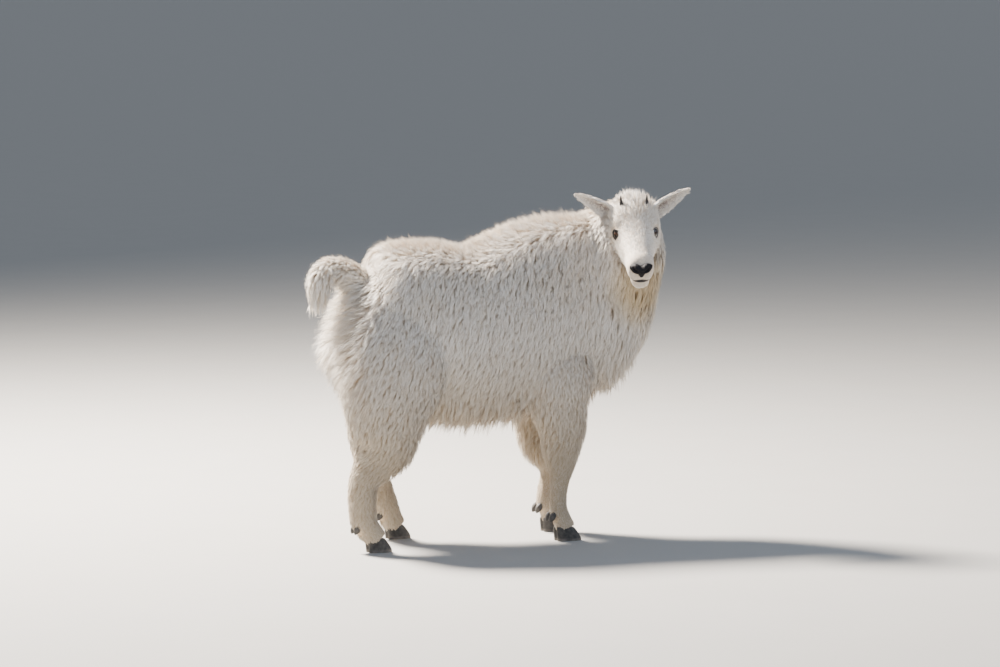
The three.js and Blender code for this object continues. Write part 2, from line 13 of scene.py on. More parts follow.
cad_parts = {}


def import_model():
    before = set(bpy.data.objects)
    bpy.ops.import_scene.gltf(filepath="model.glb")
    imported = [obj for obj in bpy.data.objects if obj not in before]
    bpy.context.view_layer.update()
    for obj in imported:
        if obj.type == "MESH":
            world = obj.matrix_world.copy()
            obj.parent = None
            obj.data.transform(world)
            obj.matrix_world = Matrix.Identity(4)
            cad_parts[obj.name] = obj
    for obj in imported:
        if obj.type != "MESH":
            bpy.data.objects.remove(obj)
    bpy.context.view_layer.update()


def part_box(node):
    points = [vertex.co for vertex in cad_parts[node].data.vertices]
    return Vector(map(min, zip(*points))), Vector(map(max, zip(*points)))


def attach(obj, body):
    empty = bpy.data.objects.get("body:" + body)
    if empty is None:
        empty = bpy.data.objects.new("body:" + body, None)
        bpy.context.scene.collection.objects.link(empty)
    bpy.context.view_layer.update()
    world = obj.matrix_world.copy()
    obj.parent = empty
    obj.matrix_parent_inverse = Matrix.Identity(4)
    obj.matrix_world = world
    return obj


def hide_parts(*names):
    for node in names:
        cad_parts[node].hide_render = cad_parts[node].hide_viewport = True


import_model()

bl_info = {
    "name": "Mountain Goat Kid",
    "version": (1, 0, 0),
    "blender": (4, 5, 0),
    "location": "View3D > Sidebar > Goat",
    "description": "Builds the skin, coat, face, horns and hooves of a mountain goat kid over its solids",
    "category": "Add Mesh",
}

MM = 0.001
SIDES = {"right": -1, "left": 1}
LEGS = ("foreleg", "hindleg")
HOOF_HEIGHT = 22
# Touching solids keep this gap.
GAP = 0.3

# Where the feet stand: forward of the design origin, and out from the middle plane; and the claws' length.
FORE_FOOT = {"right": 118, "left": 143, "track": 61, "length": 45}
HIND_FOOT = {"right": -238, "left": -148, "track": 74, "length": 42}

# The head's own frame: origin midway between the eyes, +X along the nose, +Y to its left.
HEAD_PLACE = Vector((235, -94, 538))
HEAD_TURN = (math.radians(-108), math.radians(29), math.radians(3))
HEAD = (
    Matrix.Translation(HEAD_PLACE)
    @ Matrix.Rotation(HEAD_TURN[0], 4, "Z")
    @ Matrix.Rotation(HEAD_TURN[1], 4, "Y")
    @ Matrix.Rotation(HEAD_TURN[2], 4, "X")
)
HEAD_FRAME = np.array(HEAD.to_3x3())
HEAD_AXIS, HEAD_LEFT, HEAD_UP = HEAD_FRAME.T

EYE = {"forward": 2, "out": 26.5, "up": 0, "radius": 12}
EAR_LENGTH = 76
HORN_LENGTH = 17
HORN_ROOT = (-27, 21.5, 28)
NOSE = {"forward": 113.5, "up": -3, "deep": 9, "wide": 20}
MOUTH_HEIGHT = -28.0

# Skin stations: place of the centre line, half width, half depth, the coat's depth over the
# top (or front), the side and the underside (or back), and the narrowing of the top.
TORSO = [
    (-268, 0, 400, 14, 18, (20, 18, 18), 0),
    (-261, 0, 397, 33, 42, (26, 22, 22), 0.05),
    (-247, 0, 390, 54, 72, (30, 24, 22), 0.1),
    (-225, 0, 383, 70, 98, (34, 24, 22), 0.12),
    (-188, 0, 380, 81, 118, (36, 24, 24), 0.15),
    (-125, 0, 374, 86, 129, (32, 24, 28), 0.15),
    (-50, 0, 366, 88, 130, (26, 24, 32), 0.12),
    (20, 0, 373, 86, 135, (34, 24, 30), 0.18),
    (80, 0, 386, 81, 139, (40, 24, 26), 0.28),
    (130, 0, 397, 74, 136, (43, 25, 26), 0.34),
    (180, 0, 399, 67, 130, (44, 26, 30), 0.32),
    (221, 0, 394, 54, 104, (40, 28, 32), 0.2),
    (244, 0, 388, 32, 66, (34, 28, 34), 0.1),
]
NECK = [
    (118, 0, 345, 62, 110, (30, 22, 30), 0.3),
    (152, 0, 392, 64, 116, (36, 24, 32), 0.3),
    (187, 0, 436, 60, 104, (42, 26, 34), 0.28),
    (216, -8, 476, 54, 82, (42, 28, 34), 0.2),
    (240, -27, 511, 47, 64, (28, 26, 32), 0.12),
    (252, -50, 534, 43, 54, (20, 20, 26), 0.05),
    (259, -68, 546, 30, 38, (14, 12, 18), 0.05),
]
TAIL = [
    (-236, 0, 452, 15, 15, (14, 14, 12), 0),
    (-266, 0, 474, 12, 11, (15, 16, 12), 0),
    (-296, 0, 478, 10, 9, (17, 18, 13), 0),
    (-314, 0, 458, 8, 8, (18, 18, 14), 0),
    (-316, 0, 430, 4, 4, (12, 14, 12), 0),
]

# Head stations in the head's own frame: forward, height, half width, half depth.
SKULL = [
    (-76, -14, 16, 14),
    (-66, -12, 29, 28),
    (-44, -12, 37, 42),
    (-18, -13, 40, 46),
    (4, -14, 34.5, 44),
    (26, -14, 30, 39),
    (50, -13, 26, 34),
    (76, -12, 23.5, 29),
    (95, -11, 23, 26),
    (106, -10.5, 20.5, 20),
    (112, -10, 13, 12.5),
]
FACE_COAT = [
    (20, 10, 12),
    (28, 14, 14),
    (30, 12, 14),
    (16, 8, 12),
    (5, 4, 8),
    (4, 3, 6),
    (3, 2.5, 4),
    (2.5, 2, 3),
    (2, 2, 2),
    (1.5, 1.5, 1.5),
    (1, 1, 1),
]
CHIN = [(10, -42, 20, 20), (45, -40, 17, 16), (72, -38, 16, 13), (92, -37, 16, 12), (101, -36, 12.5, 9.5)]
CHIN_COAT = (1, 1.5, 3)

# Leg stations: forward of the foot, out from its track, height, half width, half depth.
LEG_END = HOOF_HEIGHT + GAP
FORELEG = {
    "right": [
        (-2, -24, 345, 28, 46),
        (-8, -2, 280, 32, 46),
        (-8, 0, 238, 26, 36),
        (-3, 0, 200, 22, 28),
        (-4, 0, 160, 17, 20),
        (-8, 0, 122, 15, 15.5),
        (-12, 1, 100, 11.5, 12.5),
        (-14, 1, 72, 10.5, 11),
        (-13, 1, 52, 12.5, 13),
        (-6, 0, 36, 13, 13.5),
        (0, 0, LEG_END, 14.5, 17),
    ],
    "left": [
        (-26, -24, 345, 28, 46),
        (-28, -2, 280, 32, 46),
        (-28, 0, 238, 26, 36),
        (-24, 0, 200, 22, 29),
        (-20, 0, 160, 17, 22),
        (-5, 0, 122, 15, 15.5),
        (-4, 1, 100, 11.5, 12.5),
        (-12, 1, 72, 10.5, 11),
        (-12, 1, 52, 12.5, 13),
        (-6, 0, 36, 13, 13.5),
        (0, 0, LEG_END, 14.5, 17),
    ],
}
FORE_COAT = [
    (14, 12, 22),
    (14, 12, 24),
    (14, 14, 26),
    (16, 13, 24),
    (13, 11, 24),
    (6, 6, 10),
    (5, 5, 7),
    (5, 5, 6),
    (4, 4, 6),
    (4, 4, 5),
    (2, 2, 2),
]
HINDLEG = {
    "right": [
        (73, -36, 408, 32, 70),
        (48, -14, 330, 44, 80),
        (30, -6, 270, 40, 67),
        (19, -2, 215, 32, 50),
        (13, 0, 180, 24, 41),
        (-5, 1, 150, 16, 27),
        (-19, 1, 130, 13.5, 19),
        (-26, 1, 105, 12.5, 16),
        (-26, 1, 70, 12.5, 15),
        (-22, 1, 48, 13.5, 16),
        (-9, 0, 34, 13.5, 15),
        (0, 0, LEG_END, 15, 17.5),
    ],
    "left": [
        (-7, -36, 412, 32, 66),
        (-20, -14, 338, 44, 70),
        (-22, -6, 284, 40, 62),
        (-31, -3, 236, 32, 43),
        (-38, -2, 204, 24, 35),
        (-50, -2, 174, 16, 25),
        (-52, -3, 152, 13.5, 18),
        (-42, -3, 116, 12.5, 16),
        (-28, -3, 78, 12.5, 15),
        (-17, -3, 50, 13.5, 16),
        (-8, -1, 34, 13.5, 15),
        (0, 0, LEG_END, 15, 17.5),
    ],
}
HIND_COAT = [
    (14, 20, 20),
    (14, 20, 22),
    (18, 20, 24),
    (20, 18, 24),
    (18, 16, 24),
    (14, 12, 16),
    (12, 11, 13),
    (12, 11, 13),
    (11, 10, 12),
    (8, 7, 10),
    (6, 5, 8),
    (2, 2, 2),
]

LEG_NODES = [f"{leg}_{side}_{part}" for leg in LEGS for side in SIDES for part in ("upper", "lower")]


def sided(vector, side):
    """A vector of the head's frame, mirrored for the right side; side is +1 on the animal's left."""
    return np.array([vector[0], side * vector[1], vector[2]], float)


def eye_centre(side):
    """The centre of an eye in the head's own frame."""
    return sided((EYE["forward"], EYE["out"], EYE["up"]), side)


def eye_place(side):
    """The centre of an eye in design millimetres."""
    return HEAD @ Vector(eye_centre(side))


def frame_shift():
    """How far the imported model's origin lies from the design origin, in millimetres."""
    low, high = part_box("eye_right")
    return (low + high) / 2 / MM - eye_place(-1)


SHIFT = frame_shift()


def world(points):
    """Design millimetres as metres in the row frame."""
    return (np.asarray(points, float) + np.array(SHIFT)) * MM


def in_head(points):
    """Row-frame metres as millimetres in the head's own frame."""
    flat = np.asarray(points, float) / MM - np.array(SHIFT) - np.array(HEAD_PLACE)
    return flat @ HEAD_FRAME


def from_head(points):
    """Millimetres in the head's own frame as metres in the row frame."""
    return world(np.asarray(points, float) @ HEAD_FRAME.T + np.array(HEAD_PLACE))


def unit(vectors):
    """Vectors with their length made one."""
    vectors = np.asarray(vectors, float)
    return vectors / np.maximum(np.linalg.norm(vectors, axis=-1, keepdims=True), 1e-9)


def flat_on(vectors, normals):
    """The unit directions of vectors along the surface that has these normals."""
    return unit(vectors - normals * np.sum(vectors * normals, axis=1, keepdims=True))


def smoothstep(value, low, high):
    """A soft step from 0 at low to 1 at high."""
    share = np.clip((value - low) / (high - low), 0, 1)
    return share * share * (3 - 2 * share)


def fall(value, low, high):
    """A soft step from 1 at low to 0 at high."""
    return smoothstep(-value, -high, -low)


def spline(points, t):
    """Values of a smooth curve through a row of points, for t from 0 to 1."""
    last = len(points) - 1
    place = np.clip(np.asarray(t, float), 0, 1) * last
    start = np.minimum(place.astype(int), last - 1)
    w = (place - start)[..., None]
    ends = np.vstack([2 * points[0] - points[1], points, 2 * points[-1] - points[-2]])
    a, b, c, d = (ends[start + k] for k in range(4))
    return 0.5 * (2 * b + (c - a) * w + (2 * a - 5 * b + 4 * c - d) * w**2 + (3 * b - a - 3 * c + d) * w**3)


# The share of the coat's depth that is matted underwool, too dense to see into, and so part of the skin.
WOOL_SHARE = 0.48
HEAD_WOOL_SHARE = 0.32
# The power of a section's outline: 2 is an ellipse, and more is squarer.
SQUARENESS = 2.2


def bulge(value):
    """A sine or cosine bent so that sections are a little square."""
    return np.sign(value) * np.abs(value) ** (2 / SQUARENESS)


def mixed_depth(coat, rise):
    """A coat's depth between its values above, beside and below a limb."""
    return coat[..., 1] * (1 - rise**2) + np.where(rise > 0, coat[..., 0], coat[..., 2]) * rise**2


class Limb:
    """A trunk, limb or head: rounded sections along a smooth centre line, in design millimetres."""

    def __init__(self, stations, side=None, wool=WOOL_SHARE):
        self.at = np.array([s[:3] for s in stations], float)
        self.sizes = np.array([(s[3], s[4], s[6]) for s in stations], float)
        coats = np.array([s[5] for s in stations], float)
        self.coats = coats * (1 - wool)
        self.wool = coats * wool
        self.side = side

    def axes(self, t):
        """The directions along, across and up (or to the front) of the sections at t."""
        t = np.asarray(t, float)
        along = unit(spline(self.at, np.minimum(t + 1e-3, 1)) - spline(self.at, np.maximum(t - 1e-3, 0)))
        if self.side is None:
            across = unit(np.cross(np.array([0.0, 0, 1]), along))
        else:
            side = np.broadcast_to(self.side, along.shape)
            across = unit(side - along * np.sum(side * along, -1, keepdims=True))
        return along, across, np.cross(along, across)

    def depth(self, t, angle):
        """How far the hair reaches past the matted underwool at a place."""
        return mixed_depth(spline(self.coats, t), np.sin(angle))

    def point(self, t, angle):
        """Points of the skin with its underwool."""
        _, across, up = self.axes(t)
        size = spline(self.sizes, t)
        rise = np.sin(angle)
        narrow = 1 - size[..., 2] * np.maximum(0, rise)
        grow = mixed_depth(spline(self.wool, t), rise)
        wide = (size[..., 0] + grow) * bulge(np.cos(angle)) * narrow
        high = (size[..., 1] + grow) * bulge(rise)
        return spline(self.at, t) + across * wide[..., None] + up * high[..., None]

    def grid(self, rows, columns):
        """The t and angle of an even grid over the limb."""
        angles = np.arange(columns) * 2 * np.pi / columns
        return np.meshgrid(np.linspace(0, 1, rows), angles, indexing="ij")

    def rings(self, rows, columns):
        """The skin as rings of points in metres."""
        t, angle = self.grid(rows, columns)
        return world(self.point(t, angle).reshape(-1, 3)).reshape(rows, columns, 3)


def head_limb(rows, coats):
    """A limb from stations in the head's own frame."""
    stations = []
    for (x, z, wide, deep), coat in zip(rows, coats):
        stations.append((*(HEAD @ Vector((x, 0, z))), wide, deep, coat, 0))
    return Limb(stations, side=HEAD_LEFT, wool=HEAD_WOOL_SHARE)


def leg_limb(rows, coats, forward, track):
    """A leg from stations about its own foot."""
    out = math.copysign(1, track)
    stations = []
    for (x, y, z, wide, deep), coat in zip(rows, coats):
        stations.append((forward + x, track + out * y, z, wide, deep, coat, 0))
    return Limb(stations, side=np.array([0.0, 1, 0]))


def all_limbs():
    """Trunk, neck, tail, head and legs by name."""
    limbs = {
        "torso": Limb(TORSO, side=np.array([0.0, 1, 0])),
        "neck": Limb(NECK),
        "tail": Limb(TAIL, side=np.array([0.0, -1, 0])),
        "skull": head_limb(SKULL, FACE_COAT),
        "chin": head_limb(CHIN, [CHIN_COAT] * len(CHIN)),
    }
    forms = ((FORELEG, FORE_COAT, FORE_FOOT), (HINDLEG, HIND_COAT, HIND_FOOT))
    for leg, (rows, coats, foot) in zip(LEGS, forms):
        for word, side in SIDES.items():
            limbs[f"{leg}_{word}"] = leg_limb(rows[word], coats, foot[word], side * foot["track"])
    return limbs


LIMBS = all_limbs()
LIMB_NAMES = list(LIMBS)
# Rows and columns of the rings that the skin is made of.
RING_GRIDS = {"torso": (56, 56), "neck": (36, 48), "tail": (24, 20), "skull": (56, 48), "chin": (24, 24)}
LEG_GRID = (64, 28)


def linear(colour):
    """An sRGB hex colour as linear values."""
    parts = [int(colour[i : i + 2], 16) / 255 for i in (0, 2, 4)]
    return (*(c / 12.92 if c <= 0.04045 else ((c + 0.055) / 1.055) ** 2.4 for c in parts), 1.0)


def node(tree, kind, inputs=None, **settings):
    """Adds a node with its settings; inputs holds values, or the sockets that feed them."""
    made = tree.nodes.new(kind)
    for name, value in settings.items():
        setattr(made, name, value)
    for name, value in (inputs or {}).items():
        if isinstance(value, bpy.types.NodeSocket):
            tree.links.new(value, made.inputs[name])
        else:
            made.inputs[name].default_value = value
    return made


def new_material(name):
    """A new material and its node tree."""
    material = bpy.data.materials.new(name)
    material.use_nodes = True
    return material, material.node_tree


def object_place(tree):
    """The place on the surface in the model's own frame, in metres."""
    return node(tree, "ShaderNodeTexCoord").outputs["Object"]


def finish(tree, colour, values, bump=None):
    """Gives a shader its colour, its values and a bump of (height, strength, distance)."""
    shader = tree.nodes["Principled BSDF"]
    tree.links.new(colour, shader.inputs["Base Color"])
    for name, value in values.items():
        shader.inputs[name].default_value = value
    if bump:
        height, strength, distance = bump
        made = node(tree, "ShaderNodeBump", {"Height": height, "Strength": strength, "Distance": distance})
        tree.links.new(made.outputs["Normal"], shader.inputs["Normal"])


def math_node(tree, operation, *values):
    """The result of a Math node."""
    return node(tree, "ShaderNodeMath", dict(enumerate(values)), operation=operation).outputs[0]


def noise(tree, place, scale, detail):
    """Noise between 0 and 1, in this many patches a metre."""
    inputs = {"Vector": place, "Scale": scale, "Detail": detail}
    return node(tree, "ShaderNodeTexNoise", inputs).outputs["Fac"]


def attribute(tree, name):
    """A number that the mesh keeps on its vertices."""
    return node(tree, "ShaderNodeAttribute", attribute_name=name).outputs["Fac"]


def step(tree, value, start, end):
    """0 up to the start, rising to 1 at the end."""
    return node(tree, "ShaderNodeMapRange", {"Value": value, "From Min": start, "From Max": end}).outputs[0]


def ramp(tree, factor, stops):
    """A colour ramp through stops of (place, hex colour)."""
    made = node(tree, "ShaderNodeValToRGB", {"Fac": factor})
    elements = made.color_ramp.elements
    while len(elements) < len(stops):
        elements.new(0.5)
    for element, (place, colour) in zip(elements, stops):
        element.position = place
        element.color = linear(colour)
    return made.outputs["Color"]


def blend(tree, factor, first, second, kind="MIX"):
    """Two colours mixed."""
    made = node(tree, "ShaderNodeMix", data_type="RGBA", blend_type=kind)
    for index, value in ((0, factor), (6, first), (7, second)):
        if isinstance(value, bpy.types.NodeSocket):
            tree.links.new(value, made.inputs[index])
        else:
            made.inputs[index].default_value = value
    return made.outputs[2]


# The middle of the cream-coloured throat, partly painted shade under the chin, in design millimetres.
THROAT = (254, -84, 436)


def markings(tree, place):
    """The coat's colour by place: white, creamier low on the body, faintly tawny below the ridge, and a cream
    throat that is partly painted shade under the chin.
    """
    height = node(tree, "ShaderNodeSeparateXYZ", {"Vector": place}).outputs["Z"]
    # Patches of warmer wool, 60 to 90 mm across.
    patch = noise(tree, place, 13.0, 3.0)
    cream = blend(tree, step(tree, height, 0.36, 0.15), linear("f5f3ef"), linear("d6cab6"))
    tawny = math_node(tree, "MULTIPLY", step(tree, height, 0.45, 0.52), patch)
    warm = blend(tree, math_node(tree, "MULTIPLY", tawny, 0.16), cream, linear("dfc9b4"))
    spread = math_node(tree, "MULTIPLY", step(tree, patch, 0.5, 0.75), 0.35)
    woolly = blend(tree, spread, warm, linear("e6dccb"))
    # The throat is cream-coloured for about 80 mm round its middle: partly the coat's own yellowish tint,
    # partly painted shade under the chin.
    throat = {0: place, 1: tuple(world(np.array(THROAT)))}
    away = node(tree, "ShaderNodeVectorMath", throat, operation="DISTANCE").outputs["Value"]
    return blend(tree, step(tree, away, 0.078, 0.03), woolly, linear("eddcb9"))


def hair_material():
    """Goat wool and guard hair: pale, dull, solid to the tip, darker and warmer near its root as painted shade
    down in the coat.
    """
    material, tree = new_material("winter_goat_hair")
    place = object_place(tree)
    # Painted shade: the strands darken and warm towards the root, standing in for the shadow deep in the coat
    # and in the gaps between tufts.
    stops = [(0.0, "cdb9a0"), (0.3, "e9dfd2"), (0.6, "faf8f4"), (1.0, "ffffff")]
    root = ramp(tree, attribute(tree, "along"), stops)
    coat = blend(tree, 1.0, markings(tree, place), root, "MULTIPLY")
    shade = ramp(tree, attribute(tree, "tint"), [(0.0, "ddd2c4"), (0.4, "f4f0ea"), (1.0, "ffffff")])
    values = {"Roughness": 0.62, "Specular IOR Level": 0.35, "Sheen Weight": 0.4, "Sheen Roughness": 0.5}
    finish(tree, blend(tree, 1.0, coat, shade, "MULTIPLY"), values)
    return material


def skin_material():
    """Hide under short hair: the coat's colour by place, its throat partly painted shade, with the fine streaks
    of hair as bump.
    """
    material, tree = new_material("short_haired_hide")
    place = object_place(tree)
    # Hairs 0.7 mm apart, drawn as fine streaks.
    streaks = noise(tree, place, 900.0, 2.0)
    shade = ramp(tree, streaks, [(0.3, "bfae9a"), (0.7, "eee6dc")])
    haired_skin = blend(tree, 1.0, markings(tree, place), shade, "MULTIPLY")
    colour = blend(tree, attribute(tree, "bare"), haired_skin, linear("3a3233"))
    finish(tree, colour, {"Roughness": 0.7, "Specular IOR Level": 0.3}, (streaks, 0.6, 0.0008))
    return material


def ear_material():
    """Ear: short white hair outside, thin greyish pink skin in the cup."""
    material, tree = new_material("ear_skin")
    place = object_place(tree)
    mottle = noise(tree, place, 90.0, 4.0)
    cup = ramp(tree, mottle, [(0.3, "5d5250"), (0.7, "8f827d")])
    colour = blend(tree, attribute(tree, "inner"), markings(tree, place), cup)
    finish(tree, colour, {"Roughness": 0.6}, (mottle, 0.3, 0.0006))
    return material


def nose_material():
    """Nose leather: moist black skin in fine cells about 1 mm across."""
    material, tree = new_material("nose_leather")
    place = object_place(tree)
    voronoi = node(tree, "ShaderNodeTexVoronoi", {"Vector": place, "Scale": 950.0}, feature="F1")
    cells = voronoi.outputs["Distance"]
    colour = ramp(tree, cells, [(0.1, "2b292b"), (0.8, "141315")])
    finish(tree, colour, {"Roughness": 0.6, "Specular IOR Level": 0.1}, (cells, 0.5, -0.0004))
    return material


def lip_material():
    """Lip and lid rims: bare dark skin, a little moist."""
    material, tree = new_material("bare_rim_skin")
    place = object_place(tree)
    mottle = noise(tree, place, 500.0, 3.0)
    colour = ramp(tree, mottle, [(0.3, "151213"), (0.8, "2b2526")])
    finish(tree, colour, {"Roughness": 0.42}, (mottle, 0.3, 0.0003))
    return material


def eye_material():
    """Eye: amber-brown iris with a level black pupil, under a clear wet cornea."""
    material, tree = new_material("wet_eye")
    where = node(tree, "ShaderNodeUVMap", uv_map="Iris").outputs["UV"]
    parts = node(tree, "ShaderNodeSeparateXYZ", {"Vector": where})
    # The pupil is a slot 2.6 times as long as it is high.
    high = math_node(tree, "MULTIPLY", parts.outputs["Y"], 2.6)
    slot = node(tree, "ShaderNodeCombineXYZ", {"X": parts.outputs["X"], "Y": high}).outputs[0]
    pupil = node(tree, "ShaderNodeVectorMath", {0: slot}, operation="LENGTH").outputs["Value"]
    round_eye = node(tree, "ShaderNodeVectorMath", {0: where}, operation="LENGTH").outputs["Value"]
    iris = ramp(tree, round_eye, [(0.0, "22130a"), (0.45, "361f0e"), (0.6, "0f0906"), (0.8, "080605")])
    dark = ramp(tree, pupil, [(0.36, "050404"), (0.46, "ffffff")])
    values = {"Roughness": 0.06, "IOR": 1.38, "Coat Weight": 0.4, "Coat Roughness": 0.02}
    finish(tree, blend(tree, 1.0, iris, dark, "MULTIPLY"), values)
    return material


def horn_material():
    """Horn: black keratin, slightly ridged across, polished towards the tip."""
    material, tree = new_material("horn_keratin")
    along = node(tree, "ShaderNodeUVMap", uv_map="Growth").outputs["UV"]
    length = node(tree, "ShaderNodeSeparateXYZ", {"Vector": along}).outputs["Y"]
    rings = math_node(tree, "SINE", math_node(tree, "MULTIPLY", length, 60.0))
    colour = ramp(tree, length, [(0.0, "4a4038"), (0.4, "26211e"), (1.0, "171412")])
    finish(tree, colour, {"Roughness": 0.45}, (rings, 0.4, 0.0003))
    return material


def hoof_material():
    """Hoof: dark grey horn with growth lines level round it, dusty and worn pale at the edge."""
    material, tree = new_material("hoof_horn")
    place = object_place(tree)
    height = node(tree, "ShaderNodeSeparateXYZ", {"Vector": place}).outputs["Z"]
    grain = noise(tree, place, 160.0, 5.0)
    # Growth lines about 1.6 mm apart.
    wave = math_node(tree, "SINE", math_node(tree, "MULTIPLY", height, 3900.0))
    horn = ramp(tree, grain, [(0.3, "2a2826"), (0.75, "55504a")])
    dust = math_node(tree, "MULTIPLY", step(tree, height, 0.006, 0.0), grain)
    finish(tree, blend(tree, dust, horn, linear("9b9184")), {"Roughness": 0.6}, (wave, 0.25, 0.0003))
    return material


def floor_material(colour):
    """Matt painted studio floor."""
    material, tree = new_material("studio_floor_paint")
    place = object_place(tree)
    darker = tuple(c * 0.94 for c in colour[:3]) + (1.0,)
    finish(tree, blend(tree, noise(tree, place, 6.0, 4.0), colour, darker), {"Roughness": 0.85})
    return material


def add_object(name, mesh, materials, slot, *replaced):
    """Puts a finished mesh in the scene, riding on the model's body."""
    obj = bpy.data.objects.new(name, mesh)
    bpy.context.scene.collection.objects.link(obj)
    for material in materials:
        mesh.materials.append(material)
    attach(obj, "root")
    if replaced:
        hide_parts(*replaced)
    return obj


def loft(bm, rings):
    """Closes a surface over rings of points, each made as a circle and bridged to the next."""
    last = None
    for number, ring in enumerate(rings):
        capped = number in (0, len(rings) - 1)
        made = bmesh.ops.create_circle(bm, cap_ends=capped, segments=len(ring), radius=1.0)["verts"]
        for vert, point in zip(made, ring):
            vert.co = point
        edges = list({edge for vert in made for edge in vert.link_edges})
        if last is not None:
            bmesh.ops.bridge_loops(bm, edges=last + edges)
        last = edges


def mesh_from(bm, name):
    """A bmesh as a smooth-shaded mesh with its faces outwards."""
    bmesh.ops.recalc_face_normals(bm, faces=bm.faces)
    if bm.calc_volume(signed=True) < 0:
        bmesh.ops.reverse_faces(bm, faces=bm.faces)
    mesh = bpy.data.meshes.new(name)
    bm.to_mesh(mesh)
    bm.free()
    mesh.shade_smooth()
    return mesh


def baked(obj):
    """An object's mesh with its modifiers applied."""
    bpy.context.view_layer.update()
    evaluated = obj.evaluated_get(bpy.context.evaluated_depsgraph_get())
    return bpy.data.meshes.new_from_object(evaluated)


def vertex_data(mesh):
    """The places and normals of a mesh's vertices."""
    places = np.empty(len(mesh.vertices) * 3)
    normals = np.empty(len(mesh.vertices) * 3)
    mesh.vertices.foreach_get("co", places)
    mesh.vertices.foreach_get("normal", normals)
    return places.reshape(-1, 3), normals.reshape(-1, 3)


def set_attribute(mesh, name, values):
    """Gives a mesh a number on each vertex."""
    attribute = mesh.attributes.new(name, "FLOAT", "POINT")
    attribute.data.foreach_set("value", np.asarray(values, np.float32))


def swell(places, normals, centre, radius, amount):
    """Moves vertices out by amount at a centre, fading with distance; all in head millimetres."""
    away = np.linalg.norm(in_head(places) - np.array(centre), axis=1)
    return places + normals * (amount * MM * np.exp(-((away / radius) ** 2)))[:, None]


# Forms of the face, each on both sides: centre in the head's frame, radius and height, in millimetres.
FACE_FORMS = [
    ((-4, 33, 14), 10, 2.6),
    ((24, 27, 0), 11, -1.2),
    ((2, 36, -34), 19, 2.4),
    ((60, 22, -14), 14, -1.4),
    ((103, 17, -3), 8, 0.6),
    ((106, 10, -22), 8, 2.6),
    ((96, 0, -44), 12, 2.2),
    ((88, 0, 12), 13, -0.8),
    ((-14, 0, 32), 22, 1.8),
]


def shape_face(mesh):
    """Adds brows, cheeks, jaw, lips and eye sockets to the skin of the head."""
    places, normals = vertex_data(mesh)
    for (x, y, z), radius, amount in FACE_FORMS:
        for side in (1, -1) if y else (1,):
            places = swell(places, normals, (x, side * y, z), radius, amount)
    # The skin sinks in behind each eyeball.
    for side in (1, -1):
        centre = world(eye_place(side))
        away = places - centre
        distance = np.linalg.norm(away, axis=1)
        radius = EYE["radius"] * MM
        sunk = (distance < 1.06 * radius) & (distance > 1e-6)
        places[sunk] = centre + away[sunk] * (0.8 * radius / distance[sunk])[:, None]
    mesh.vertices.foreach_set("co", places.ravel())
    mesh.update()


# The head reaches this far back, to each side, and up and down from its own middle height.
HEAD_BACK = -70
HEAD_SIDE = 60
HEAD_TALL = 62
HEAD_MIDDLE = -10


def refine_head(mesh):
    """Halves the faces of the head, so that the face's forms are crisp."""
    bm = bmesh.new()
    bm.from_mesh(mesh)
    centres = in_head(np.array([face.calc_center_median() for face in bm.faces]))
    inside = (centres[:, 0] > HEAD_BACK) & (np.abs(centres[:, 1]) < HEAD_SIDE)
    inside &= np.abs(centres[:, 2] - HEAD_MIDDLE) < HEAD_TALL
    edges = {edge for face, is_head in zip(bm.faces, inside) if is_head for edge in face.edges}
    bmesh.ops.subdivide_edges(bm, edges=list(edges), cuts=1, use_grid_fill=True, smooth=0.0)
    bmesh.ops.triangulate(bm, faces=[face for face in bm.faces if len(face.verts) > 4])
    bm.to_mesh(mesh)
    bm.free()


# Bare skin fades out round this place of the nose, at these distances along, across and up.
BARE_NOSE = (121, 0, -6)
BARE_REACH = (9, 15, 8)


def ovals(places, centre, reach):
    """The squared distance of places from a centre, over the reach along, across and up the head."""
    return np.sum(((in_head(places) - np.array(centre)) / np.array(reach)) ** 2, axis=1)


def bare_share(places):
    """How bare and dark the skin is round the nose pad."""
    return 0.85 * np.exp(-ovals(places, BARE_NOSE, BARE_REACH))


def make_skin(settings):
    """One skin over trunk, neck, head, tail and legs."""
    bm = bmesh.new()
    for name, limb in LIMBS.items():
        loft(bm, limb.rings(*RING_GRIDS.get(name, LEG_GRID)))
    rough = bpy.data.objects.new("rough_skin", mesh_from(bm, "rough_skin"))
    bpy.context.scene.collection.objects.link(rough)
    remesh = rough.modifiers.new("remesh", "REMESH")
    remesh.mode = "VOXEL"
    remesh.voxel_size = settings.voxel
    smooth = rough.modifiers.new("smooth", "SMOOTH")
    smooth.factor = 0.5
    smooth.iterations = 5
    mesh = baked(rough)
    bpy.data.objects.remove(rough)
    mesh.name = "skin"
    refine_head(mesh)
    shape_face(mesh)
    mesh.shade_smooth()
    places, _ = vertex_data(mesh)
    set_attribute(mesh, "bare", bare_share(places))
    unwrap(mesh)
    add_object("skin", mesh, [skin_material()], "coat", "head", "neck", "torso", "tail", *LEG_NODES)


def unwrap(mesh):
    """Unwraps a mesh by its own shape on to the map that colours are baked to."""
    mesh.uv_layers.new(name="OFBake")
    holder = bpy.data.objects.new("unwrap", mesh)
    bpy.context.scene.collection.objects.link(holder)
    bpy.context.view_layer.objects.active = holder
    holder.select_set(True)
    bpy.ops.object.mode_set(mode="EDIT")
    bpy.ops.mesh.select_all(action="SELECT")
    bpy.ops.uv.smart_project(angle_limit=math.radians(66), island_margin=0.002)
    bpy.ops.object.mode_set(mode="OBJECT")
    bpy.data.objects.remove(holder)


